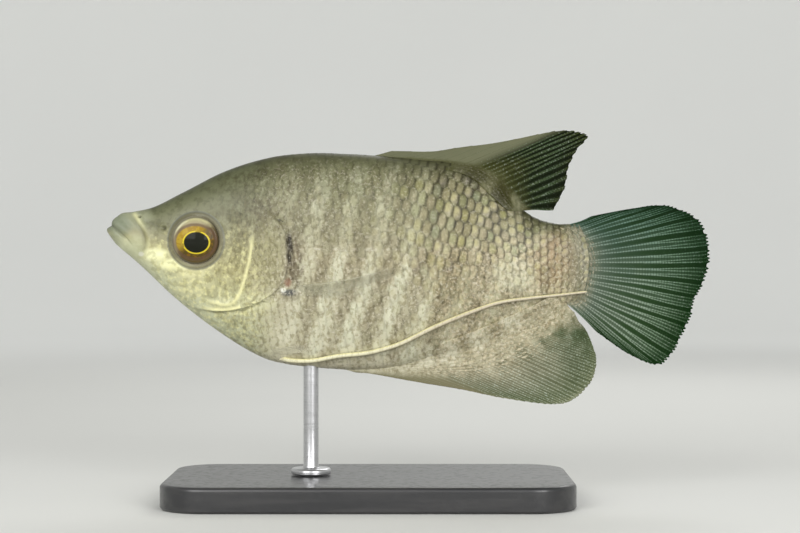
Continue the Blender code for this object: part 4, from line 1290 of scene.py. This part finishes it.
def fin(name, pairs, rays, columns, rows, width, half, ridge, forks, sag=None, sway=0.0, ripple=0.0,
        notch=0.02, sink=1.6, seed=1, fillet=0.0, fleshy=False, swell=0.0, height=0.12):
    """A closed sheet between the roots and tips of guide rays, with its shape for a coat of scales.

    It has so many rays, columns to a ray and rows. A ray is width wide and ridge high, half is the sheet's
    half thickness at root and tip, and forks are as ray_field has them. The sheet sags, sways and ripples
    so far, its edge is notched between rays, and its root lies sink deep in the body. It joins the body
    with a small fillet, with a swell that thins over so many millimetres, or, where it is fleshy, as
    thick as the body's end. Height is its place between belly and back for the body's colour.
    """
    share = np.linspace(0, 1, (rays - 1) * columns + 1)
    root, tip = (along([in_space(pair[k]) for pair in pairs], share) for k in (0, 1))
    way = tip - root
    length = np.linalg.norm(way, axis=1)[:, None]
    root = root - way / length * sink
    middle = (root + tip) / 2 + (0 if sag is None else np.array(sag) * length / length.max())

    def grid_at(v):
        v = v[..., None]
        grid = (1 - v) ** 2 * root + 2 * v * (1 - v) * middle + v * v * tip
        grid[..., 1] += sway * np.sin(share * 2 * math.pi) * v[..., 0] ** 2
        grid[..., 1] += ripple * np.sin(share * RIPPLE_WAVES + 2 * v[..., 0]) * v[..., 0] ** 1.5
        grid[..., 2] += ripple * 0.7 * np.sin(share * FRAY_WAVES + 8 * v[..., 0]) * v[..., 0]
        return grid

    v = np.repeat(np.linspace(0, 1, rows)[:, None], len(share), axis=1)
    place = share * (rays - 1) + 0 * v
    full = grid_at(v)
    normal = unit(np.cross(np.gradient(full, axis=0), np.gradient(full, axis=1)))
    spacing = np.maximum(np.linalg.norm(np.gradient(full, axis=1), axis=-1) * columns, 0.05)
    near = ray_field(place, v, spacing, rays, forks, width)
    draw = np.random.default_rng(seed)
    steps = rays * WORN_STEPS
    worn = np.interp(share * (rays - 1) * WORN_STEPS, np.arange(steps), draw.random(steps))
    gap = 1 - ray_field(place[-1:], v[-1:], spacing[-1:], rays, forks, width * GAP_WIDTH)[0]
    grid = grid_at(v * (1 - notch * (0.75 * gap + 0.5 * worn)))
    reach = np.linalg.norm(grid - grid[:1], axis=-1) - sink
    crest = ridge * near * (1 - 0.55 * v) * (0.25 + 0.75 * ease(reach, 1, 5))
    thick = half[0] + (half[1] - half[0]) * v + crest
    thick = thick + fillet * np.exp(-(np.maximum(reach + sink / 2, 0) / (1.4 + fillet)) ** 2)
    if swell:
        start = side_at(grid[0, :, 0], grid[0, :, 2]) * ease(grid[0, :, 0], -2, 9) * (1 - v) ** 1.5
        thick = np.maximum(thick, half[0] + start * np.exp(-((reach + sink) / swell) ** 2))
    if fleshy:
        body = side_at(np.minimum(grid[..., 0], BODY_END - 0.1), grid[..., 2]) + 0.06
        past_end = np.maximum(grid[..., 0] - BODY_END, 0)
        thick = np.maximum(thick, body * np.exp(-past_end / END_FADE))
    band = 1 - 2 * np.abs(place - np.round(place))
    values = {"ray": near, "run": v, "reach": reach, "fan": place / (rays - 1), "band": band,
              "height": height + 0 * v}
    outer, inner = grid + normal * thick[..., None], grid - normal * thick[..., None]
    return closed_sheet(name, outer, inner, values), (grid, normal, thick)


print("places where an edge is worn:", WORN_STEPS, "for each ray")

# %% [markdown]
# ## The finish of the fins
# The skin of the fins is a smoky green grey, and the rays in it are paler, with a mark at each joint and
# specks of white. Stripes could be laid over the fan, but they would miss the forks. The sheet stores how
# near each point lies to a ray and how far along it, so the paint follows every branch.

# %% Fin material
JOINT_PITCH = 0.56


def fin_look(name, skin_stops, ray_stops, speck=0.15, joints=0.5, alpha=None, folded=None, blotch=0.0,
             fade=None, flesh=0.0):
    """Smoky skin and pale jointed rays, each with its own colours from the root to the edge.

    Speck, joints and blotch say how strongly specks, joints and patches show. Alpha is how solid the skin
    and the rays are. Folded is the share of the fan that is closed, and its tone. Fade darkens the fan
    between two shares of it with a tone. Flesh is how far out the body's own colour reaches.
    """
    made, shader, look, place = new_look(name, Specular_IOR_Level=0.04)
    ray, run, reach, band = (stored(look, key) for key in ("ray", "run", "reach", "band"))
    cloud = noise(look, place, 0.45, 3.0)
    wander = run + (cloud - 0.5) * 0.16
    membrane = ramp(wander, skin_stops)
    bone = ramp(wander, ray_stops)
    joint = soft((reach * (2 * math.pi / JOINT_PITCH)).maths("COSINE"), 0.1, 0.9) * soft(run, 0.1, 0.25)
    bone = mix(joint * joints, bone, (0.28, 0.32, 0.26, 1), "MULTIPLY")
    grain = noise(look, place, 3.4, 2.0)
    bone = mix(soft(grain, 0.54, 0.68) * speck, bone, rgb(206, 216, 204))
    membrane = mix(soft(band, 0.15, 0.6) * 0.2, membrane, bone)
    membrane = mix(soft(grain, 0.60, 0.74) * speck * 0.5, membrane, rgb(150, 158, 140))
    if folded:
        limit, tone = folded
        closed = soft(stored(look, "fan"), limit + 0.07, limit - 0.05)
        membrane, bone = mix(closed * 0.9, membrane, tone), mix(closed * 0.6, bone, tone)
    near = soft(ray, 0.1, 0.7)
    colour = mix(near, membrane, bone)
    if fade:
        clear, full, tone = fade
        shaded = soft(stored(look, "fan") + (cloud - 0.5) * 0.3, clear, full)
        colour = mix(shaded * soft(run, 0.1, 0.35), colour, tone, "MULTIPLY")
    if flesh:
        x, z = seen_in_mm(look, place)
        body = body_colour(look, place, x, z)[0]
        colour = mix(soft(reach + (cloud - 0.5) * flesh * 0.8, flesh, flesh * 0.17) * 0.95, colour, body)
    if blotch:
        patches = soft(noise(look, place, 0.42, 4.0), 0.48, 0.64) * soft(run, 0.7, 0.2)
        colour = mix(patches * blotch, colour, rgb(204, 198, 172))
        smut = soft(noise(look, place, 0.8, 4.0), 0.52, 0.40) * soft(run, 0.8, 0.3)
        colour = mix(smut * blotch, colour, (0.46, 0.42, 0.31, 1), "MULTIPLY")
    feed(shader, "Base Color", colour)
    feed(shader, "Roughness", 0.45 + cloud * 0.2)
    if alpha:
        feed(shader, "Alpha", (near * (alpha[1] - alpha[0]) + alpha[0]) * soft(run, 1.15, 0.6))
    bump(shader, grain * 0.5 + joint * ray * -0.5, 0.08, 0.5)
    return made


print("joints on a ray lie", JOINT_PITCH, "mm apart")

# %% Five fin finishes
TAIL_LOOK = fin_look(
    "tail_fin_skin",
    [(0.0, rgb(140, 131, 106)), (0.08, rgb(122, 121, 101)), (0.15, rgb(94, 100, 83)),
     (0.24, rgb(72, 84, 70)), (0.36, rgb(56, 72, 52)), (0.6, rgb(36, 56, 30)), (1.0, rgb(5, 32, 3))],
    [(0.0, rgb(140, 131, 106)), (0.08, rgb(132, 131, 111)), (0.15, rgb(118, 122, 106)),
     (0.26, rgb(120, 131, 117)), (0.5, rgb(126, 139, 123)), (0.8, rgb(97, 117, 94)),
     (1.0, rgb(16, 50, 11))],
    joints=0.6, fade=(0.78, 0.10, (0.46, 0.62, 0.62, 1)))
DORSAL_LOOK = fin_look(
    "dorsal_fin_skin",
    [(0.0, rgb(84, 84, 54)), (0.25, rgb(44, 46, 18)), (0.5, rgb(12, 20, 3)), (1.0, rgb(8, 14, 1))],
    [(0.0, rgb(86, 87, 56)), (0.3, rgb(62, 66, 37)), (0.5, rgb(58, 69, 43)), (0.75, rgb(57, 71, 48)),
     (1.0, rgb(48, 54, 25))],
    joints=0.5, folded=(4.5 / 11, rgb(101, 102, 79)), flesh=2.2)
ANAL_LOOK = fin_look(
    "anal_fin_skin",
    [(0.0, rgb(160, 152, 125)), (0.3, rgb(138, 132, 108)), (0.6, rgb(106, 106, 85)), (0.9, rgb(76, 84, 59)),
     (0.98, rgb(80, 87, 62)), (1.0, rgb(120, 124, 100))],
    [(0.0, rgb(172, 163, 136)), (0.4, rgb(162, 157, 134)), (0.75, rgb(134, 138, 117)),
     (0.92, rgb(112, 119, 94)), (1.0, rgb(134, 137, 110))],
    speck=0.4, folded=(3.6 / 12, rgb(114, 109, 84)), blotch=0.5, fade=(0.45, 0.85, (0.32, 0.38, 0.28, 1)),
    flesh=9.0)
PELVIC_LOOK = fin_look(
    "pelvic_fin_skin",
    [(0.0, rgb(208, 204, 178)), (1.0, rgb(198, 194, 170))],
    [(0.0, rgb(216, 212, 186)), (1.0, rgb(210, 206, 182))], speck=0.1, joints=0.1, alpha=(0.2, 0.45))
CLEAR_LOOK = fin_look(
    "clear_fin_skin",
    [(0.0, rgb(182, 179, 152)), (0.6, rgb(176, 173, 148)), (1.0, rgb(142, 137, 116))],
    [(0.0, rgb(192, 189, 162)), (0.6, rgb(188, 186, 162)), (1.0, rgb(156, 151, 130))],
    speck=0.1, joints=0.1, alpha=(0.10, 0.34))
print("fin finishes:", *[made.name for made in (TAIL_LOOK, DORSAL_LOOK, ANAL_LOOK, PELVIC_LOOK, CLEAR_LOOK)])

# %% [markdown]
# ## Dorsal, anal and tail fin
# These three stand on the middle plane. In front, the dorsal and the anal fin are spines folded back under
# one smooth skin, and behind they open into soft rays. The two lengths could be pieces of their own, but
# no seam shows on the fish, so one sheet runs over both lists of guide rays. Each fin grows out of the
# body in its own way: by a fillet, by a swelling of its base, or as thick as the tail root itself.

# %% Fins of the middle plane
def joined(spines, rays):
    """One list of guide rays, with the last spine and the first soft ray drawn into one."""
    middle = tuple(tuple((p + q) / 2 for p, q in zip(a, b)) for a, b in zip(spines[-1], rays[0]))
    return spines[:-1] + [middle] + rays[1:]


dorsal, dorsal_shape = fin(
    "dorsal_fin", joined(DORSAL_SPINES, DORSAL_RAYS), rays=23, columns=16, rows=90, width=0.21,
    half=(0.42, 0.10), ridge=0.15, forks=(9, (0.3, 0.10), (0.8, 0.03)), ripple=0.18, seed=3,
    fillet=0.6, sink=2.6, swell=3.4, height=0.97)
settle(dorsal, DORSAL_LOOK, "fin", "dorsal_spines", "dorsal_rays")
anal, anal_shape = fin(
    "anal_fin", joined(ANAL_SPINES, ANAL_RAYS), rays=40, columns=14, rows=90, width=0.24,
    half=(0.52, 0.10), ridge=0.14, forks=(12, (-0.1, 0.25), (0.75, 0.05)), ripple=0.12, notch=0.015,
    seed=4, fillet=0.6, sink=3.2, swell=4.0)
settle(anal, ANAL_LOOK, "fin", "anal_spines", "anal_rays")
tail, tail_shape = fin(
    "tail_fan", TAIL_RAYS, rays=18, columns=32, rows=90, width=0.17, half=(0.55, 0.10), ridge=0.15,
    forks=(0, (-0.1, 0.21), (0.4, 0.105)), sway=1.0, ripple=0.2, seed=5, fleshy=True)
settle(tail, TAIL_LOOK, "fin", "tail_fin")

# %% [markdown]
# ## Small scales over the roots of the fins
# On this fish small scales run out over the base of the dorsal, anal and tail fins, which hides where the
# body ends. A bump map could hint at them, but they catch the light as the larger ones do. So the same
# coat is laid over the sheet of each fin, with cells that shrink and sink as they go out.

# %% Coats for the fins
CELL_LIFT, CELL_SUNK, CELL_SHOW = 0.12, 0.16, 0.14


def over_fin(shape, length, width, height):
    """A surface for a coat: places are millimetres from the fin's root and across it."""
    grid, normal, thick = shape
    rows, columns = thick.shape

    def sample(table, u, v):
        """A value of a table between its rows and columns."""
        row = np.clip(u / length * (rows - 1), 0, rows - 1.001)
        column = np.clip(v / width * (columns - 1), 0, columns - 1.001)
        i, j = row.astype(int), column.astype(int)
        a, b = (row - i), (column - j)
        if table.ndim == 3:
            a, b = a[..., None], b[..., None]
        low = table[i, j] * (1 - b) + table[i, j + 1] * b
        return low * (1 - a) + (table[i + 1, j] * (1 - b) + table[i + 1, j + 1] * b) * a

    def surface(u, v, rise, side):
        facing = side * np.sign(normal[..., 1].mean())
        out = sample(normal, u, v) * facing
        points = sample(grid, u, v) + out * (sample(thick, u, v) + rise)[..., None]
        return points, height + 0 * u

    return surface


print("a small scale lifts", CELL_LIFT, "mm from the fin")

# %% Scales on the fins
def fin_scales(length, width, reach, step, pitch, margin):
    """Cells over the root of a fin, which shrink and sink towards the reach of its scales."""
    found, u, drop = [], 0.5, 0.0
    while u < reach:
        shrink = 1 - 0.45 * u / reach
        count = int((width - 2 * margin) / (pitch * shrink)) + 1
        spacing = (width - 2 * margin) / count
        for row in range(count):
            place = u, margin + (row + drop % 1) * (width - 2 * margin) / count
            found.append((*place, step * shrink, spacing, CELL_LIFT, CELL_SUNK * u / reach, CELL_SHOW))
        u += step * shrink
        drop += 0.5
    return np.array(found)


TAIL_ROOT, ANAL_ROOT, DORSAL_ROOT = (24.0, 17.0), (16.0, 45.0), (20.0, 32.0)
tail_cells = fin_scales(*TAIL_ROOT, reach=4.6, step=0.8, pitch=1.0, margin=0.7)
anal_cells = fin_scales(*ANAL_ROOT, reach=8.0, step=1.0, pitch=1.6, margin=1.2)
dorsal_cells = fin_scales(*DORSAL_ROOT, reach=2.8, step=0.9, pitch=1.2, margin=0.8)
dorsal_cells = dorsal_cells[dorsal_cells[:, 1] > 12]
for side, word in ((1, "right"), (-1, "left")):
    for part, cells, shape, size, high, fin_map in (
        ("dorsal", dorsal_cells, dorsal_shape, DORSAL_ROOT, 0.95, ((-4, 5), (24, 35))),
        ("tail", tail_cells, tail_shape, TAIL_ROOT, 0.5, ((-4, -3), (21, 20))),
        ("anal", anal_cells, anal_shape, ANAL_ROOT, 0.3, ((-4, -4), (40, 50))),
    ):
        piece = coat(f"scales_{word}_{part}", cells, side, over_fin(shape, *size, high), 9, fin_map)
        settle(piece, SCALE, "body_skin")

# %% [markdown]
# ## Pectoral and pelvic fins
# The pectoral fin is as clear as film and stands off the flank; the pelvic fin is a small pale fan under
# the breast. Both could be cut from the same sheet as the others, and they are: only their guide rays
# leave the middle plane, and their finish lets the flank shine through.

# %% Paired fins
def on_flank(point, side, lift):
    """A point of the side view, laid on one side of the body at the height of lift."""
    x, z = point
    return x, side * (float(side_at(x, z)) + lift), z


thin = dict(width=0.16, half=(0.2, 0.06), ridge=0.09, sink=0.8, forks=(0, (0.35, 0.22), (0.7, 0.1)))
for side, word in ((-1, "left"), (1, "right")):
    guides = [[(x, side * y, z) for x, y, z in pair] for pair in PECTORAL_RAYS]
    sag = (0, 0, -PECTORAL_SAG)
    made, _ = fin(f"pectoral_{word}", guides, rays=13, columns=16, rows=60, sag=sag, **thin)
    settle(made, CLEAR_LOOK, "fin", f"pectoral_fin_{word}")
    roots = [on_flank(root, side, -PELVIC_ROOT) for root, _ in PELVIC_RAYS]
    tips = [on_flank(tip, side, PELVIC_LIFT) for _, tip in PELVIC_RAYS]
    guides, sag = list(zip(roots, tips)), (0, PELVIC_SAG * side, 0)
    made, _ = fin(f"pelvic_{word}", guides, rays=6, columns=12, rows=40, sag=sag, **thin)
    settle(made, PELVIC_LOOK, "fin", f"pelvic_fin_{word}")

# %% [markdown]
# ## The threads
# The first ray of each pelvic fin is a long feeler, which this fish trails back along its flank. A curve
# with a round section could stand for it, but the model is kept as bare meshes. So it is a tapered tube
# that follows the body's side just clear of the scales, and it takes the place of both lengths in the frame.

# %% Thread mesh
THREAD_LINE = [
    (-26.6, 28.6), (-24.5, 28.1), (-19.2, 27.9), (-14.4, 28.8), (-7.7, 29.6), (-2.4, 31.1), (4.9, 34.6),
    (12.0, 37.5), (16.9, 39.2), (24.2, 40.3), (30.0, 40.9), (35.2, 41.5),
]
THREAD_RADII = [(-26.6, 0.55), (-10.0, 0.5), (5.0, 0.5), (20.0, 0.36), (35.2, 0.25)]
THREAD_SLIM, THREAD_DEPTH, THREAD_CLEAR = 0.92, 1.2, 0.4


def thread(name, side, points=240, around=14):
    """A tapered tube along the flank, rounded at both ends, which knows its upper side."""
    height, thickness = smooth_line(THREAD_LINE), smooth_line(THREAD_RADII)
    x = np.linspace(THREAD_LINE[0][0], THREAD_LINE[-1][0], points)
    z, radius = height(x), thickness(x) * THREAD_SLIM
    lift = (THREAD_DEPTH + THREAD_CLEAR + radius) * ease(x, -26.6, -23.5) - THREAD_DEPTH
    path = np.stack([x, side * (side_at(x, z) + lift), z], -1)
    forward = unit(np.gradient(path, axis=0))
    out = unit(np.cross(forward, [0, 0, 1.0]))
    up = np.cross(out, forward)
    turn = np.linspace(0, 2 * math.pi, around, endpoint=False)
    ring = np.cos(turn)[:, None] * out[:, None] + np.sin(turn)[:, None] * up[:, None]
    ends_in = np.clip(np.minimum(np.arange(points), points - 1 - np.arange(points)) / 3, 0, 1)
    grid = path[:, None] + ring * (radius * np.sqrt(1 - (1 - ends_in) ** 2) + 0.01)[:, None, None]
    upper = np.broadcast_to(np.sin(turn), grid.shape[:2]).reshape(-1)
    values = {"upper": np.concatenate([upper, [0, 0]])}
    return closed_tube(name, grid, path[0] - forward[0] * 0.05, path[-1] + forward[-1] * 0.05, values)


print(f"a thread runs over {THREAD_LINE[-1][0] - THREAD_LINE[0][0]:.0f} mm of the fish")

# %% Thread material
def thread_look():
    """Cream, with a painted highlight on the upper side, painted shade below, and faint bands."""
    made, shader, look, place = new_look("gourami_thread", Roughness=0.4, Coat_Weight=0.15)
    x = look.node("ShaderNodeSeparateXYZ", {}, {0: place})
    colour = mix(soft(x, -12.0, 12.0), rgb(208, 204, 172), rgb(186, 176, 152))
    # A painted highlight along the upper side and painted shade along the under side.
    colour = mix(soft(stored(look, "upper"), 0.2, 0.9) * 0.6, colour, rgb(232, 226, 160))
    colour = mix(soft(stored(look, "upper"), -0.2, -0.9) * 0.6, colour, rgb(112, 100, 78))
    bands = noise(look, place, 1.4, 2.0, stretch=(2.0, 0.6, 0.6))
    colour = mix(soft(bands, 0.5, 0.36) * 0.3, colour, (0.5, 0.46, 0.36, 1), "MULTIPLY")
    feed(shader, "Base Color", colour)
    bump(shader, bands, 0.05, 0.4)
    return made


THREAD = thread_look()
for side, word in ((-1, "left"), (1, "right")):
    nodes = [f"pelvic_thread_{word}_{part}" for part in ("front", "rear")]
    settle(thread(f"thread_{word}", side), THREAD, "thread", *nodes)

# %% [markdown]
# ## The stand
# A museum's plain stand: a low black slab with a satin lacquer, and a steel rod in a turned collar. Their
# plain solids could stay, but a real edge is never sharp and catches a line of light. So both are made
# from short outlines with finely rounded edges, one drawn round a rectangle and one turned on a lathe.

# %% Base
BASE_X, BASE_HALF, BASE_CORNER, BASE_HEIGHT = -8.0, (40.0, 22.0), 9.0, 5.0
BASE_ROUND = 0.8


def rounded(radius, steps=6):
    """How far in and how far up the points of a rounded edge lie from its lower end."""
    return [(radius * math.cos(a), radius * math.sin(a)) for a in np.linspace(0.2, math.pi / 2, steps)]


def slab(name):
    """Rings of a rounded rectangle, drawn in at the lower and upper edge and closed across the top."""
    edge = [(0.9, 0.0), (0.35, 0.1), (0.0, 0.5), (0.0, BASE_HEIGHT - 0.9)]
    edge += [(BASE_ROUND - wide, BASE_HEIGHT - BASE_ROUND + up) for wide, up in rounded(BASE_ROUND)]
    edge += [(inset, BASE_HEIGHT) for inset in (3.0, 9.0, 15.0, 20.0)]
    turn = np.linspace(0, math.pi / 2, 17)
    rings = []
    for inset, z in edge:
        radius = max(BASE_CORNER - inset, 0.8)
        corner_x, corner_y = BASE_HALF[0] - inset - radius, BASE_HALF[1] - inset - radius
        ring = []
        for k, (sx, sy) in enumerate(((1, 1), (-1, 1), (-1, -1), (1, -1))):
            for angle in turn + k * math.pi / 2:
                x = BASE_X + sx * corner_x + radius * math.cos(angle)
                ring.append((x, sy * corner_y + radius * math.sin(angle), z))
        rings.append(ring)
    grid = np.array(rings)[:, ::-1]
    return closed_tube(name, grid, (BASE_X, 0, 0), (BASE_X, 0, BASE_HEIGHT))


print(f"base {2 * BASE_HALF[0]:.0f} by {2 * BASE_HALF[1]:.0f} mm, and {BASE_HEIGHT:.0f} mm high")

# %% Rod and collar
ROD_X, ROD_RADIUS, ROD_TOP = -19.6, 1.5, 29.5
FOOT_RADIUS, FOOT_HEIGHT, FOOT_GAP = 4.0, 1.2, 0.3
FOOT_ROUND = 0.6


def turned_rod(name, around=48):
    """A rod and its collar, turned round the rod's own line, with small rounds at each edge."""
    foot = BASE_HEIGHT + FOOT_GAP
    top = foot + FOOT_HEIGHT
    profile = [(FOOT_RADIUS - 0.15, foot), (FOOT_RADIUS, foot + 0.15), (FOOT_RADIUS, foot + 0.55)]
    edge = FOOT_RADIUS - FOOT_ROUND
    profile += [(edge + wide, foot + FOOT_ROUND + up) for wide, up in rounded(FOOT_ROUND)]
    profile += [(ROD_RADIUS + 0.45, top), (ROD_RADIUS + 0.12, top + 0.12)]
    profile += [(ROD_RADIUS, z) for z in (top + 0.45, 15.0, 22.0, ROD_TOP - 1.2)]
    turn = np.linspace(0, 2 * math.pi, around, endpoint=False)[::-1]
    radius, z = np.array(profile).T[:, :, None]
    grid = np.stack([ROD_X + radius * np.cos(turn), radius * np.sin(turn), z + 0 * turn], -1)
    return closed_tube(name, grid, (ROD_X, 0, foot), (ROD_X, 0, ROD_TOP - 1.0))


print(f"rod {2 * ROD_RADIUS:.0f} mm thick, up to {ROD_TOP:.1f} mm")

# %% Lacquer and steel
def lacquer_look():
    """Satin black with a faint long grain and a little dust."""
    made, shader, look, place = new_look("black_lacquer", Coat_Weight=0.35, Coat_Roughness=0.2)
    grain = noise(look, place, 0.5, 4.0, stretch=(0.08, 1.0, 1.0))
    dust = noise(look, place, 0.9, 3.0)
    feed(shader, "Base Color", mix(soft(grain, 0.4, 0.65), rgb(34, 34, 36), rgb(46, 45, 46)))
    feed(shader, "Roughness", 0.32 + soft(dust, 0.45, 0.75) * 0.14 + grain * 0.08)
    bump(shader, grain, 0.04, 0.5)
    return made


def steel_look():
    """Steel with the fine rings that a lathe leaves."""
    made, shader, look, place = new_look("turned_steel", Metallic=1.0)
    rings = noise(look, place, 3.0, 2.0, stretch=(0.1, 0.1, 1.0))
    feed(shader, "Base Color", mix(rings, rgb(178, 178, 180), rgb(206, 206, 208)))
    feed(shader, "Roughness", 0.22 + rings * 0.16)
    bump(shader, rings, 0.02, 0.4)
    return made


base = settle(slab("base_slab"), lacquer_look(), "stand_base", "stand_base")
rod = settle(turned_rod("steel_rod"), steel_look(), "stand_rod", "stand_rod")
for piece in (base, rod):
    piece.data.set_sharp_from_angle(angle=math.radians(40))

# %% [markdown]
# ## Floor and light
# The picture needs only a pale floor that turns up into a round wall far away. A flat wall would be dark
# from behind, so this one goes all round and glows a little. Three broad soft lamps light the fish: one
# from above, in front and to the left, as the photograph has it, a fill from the right, and one behind
# to draw the back's edge.

# %% Floor
FLOOR_FLAT, FLOOR_CURVE, WALL_TOP = 900.0, 500.0, 1600.0
FLOOR_AROUND = 96


def round_floor():
    """A round floor that turns up in a wide curve far around the model."""
    profile = [(1.0, 0.0), (300.0, 0.0), (FLOOR_FLAT, 0.0)]
    for angle in np.linspace(0.1, math.pi / 2, 14):
        profile.append((FLOOR_FLAT + FLOOR_CURVE * math.sin(angle), FLOOR_CURVE * (1 - math.cos(angle))))
    profile.append((FLOOR_FLAT + FLOOR_CURVE, WALL_TOP))
    turn = np.arange(FLOOR_AROUND) * 2 * math.pi / FLOOR_AROUND
    radius, z = np.array(profile).T[:, :, None]
    grid = np.stack([radius * np.cos(turn), radius * np.sin(turn), z + 0 * turn], -1)
    quads, row, column = grid_quads(*grid.shape[:2], closed=True)
    place = np.stack([column / len(turn), row / (len(z) - 1)], -1)
    return build_mesh("floor", grid.reshape(-1, 3), quads, place)


def floor_look():
    """Pale grey with faint clouds, and a glow that starts away from the model."""
    made, shader, look, place = new_look("pale_floor", Roughness=0.85, Emission_Strength=1.0)
    across = look.node("ShaderNodeSeparateXYZ", {}, {0: place})
    deep = across.other(1)
    far = soft((across * across + deep * deep).maths("SQRT"), 250.0, 850.0)
    feed(shader, "Base Color", mix(noise(look, place, 0.004), rgb(214, 214, 210), rgb(222, 222, 218)))
    feed(shader, "Emission Color", mix(far, rgb(0, 0, 0), rgb(130, 131, 131)))
    made.cycles.emission_sampling = "NONE"
    return made


floor = round_floor()
floor.data.materials.append(floor_look())
print(f"the wall stands {FLOOR_FLAT + FLOOR_CURVE:.0f} mm away")

# %% Lamps and surroundings
def lamp(name, place, target, size, power):
    """A square soft lamp at a place, turned to a target, both in millimetres."""
    light = bpy.data.lights.new(name, "AREA")
    light.size, light.energy = size * MM, power
    thing = bpy.data.objects.new(name, light)
    thing.location = Vector(place) * MM
    thing.rotation_euler = (Vector(target) - Vector(place)).to_track_quat("-Z", "Y").to_euler()
    bpy.context.scene.collection.objects.link(thing)


lamp("key", (-240, -470, 260), (-5, 0, 45), 320, 1.75)
lamp("fill", (250, -470, 200), (-5, 0, 42), 240, 1.55)
lamp("edge", (120, 360, 360), (-5, 0, 50), 260, 0.7)
world = bpy.data.worlds.new("studio")
world.use_nodes = True
sky = world.node_tree.nodes["Background"].inputs
sky["Color"].default_value, sky["Strength"].default_value = (0.78, 0.79, 0.80, 1), 0.40
bpy.context.scene.world = world
bpy.context.scene.view_settings.view_transform = "Standard"
print("lamps:", len(bpy.data.lights))
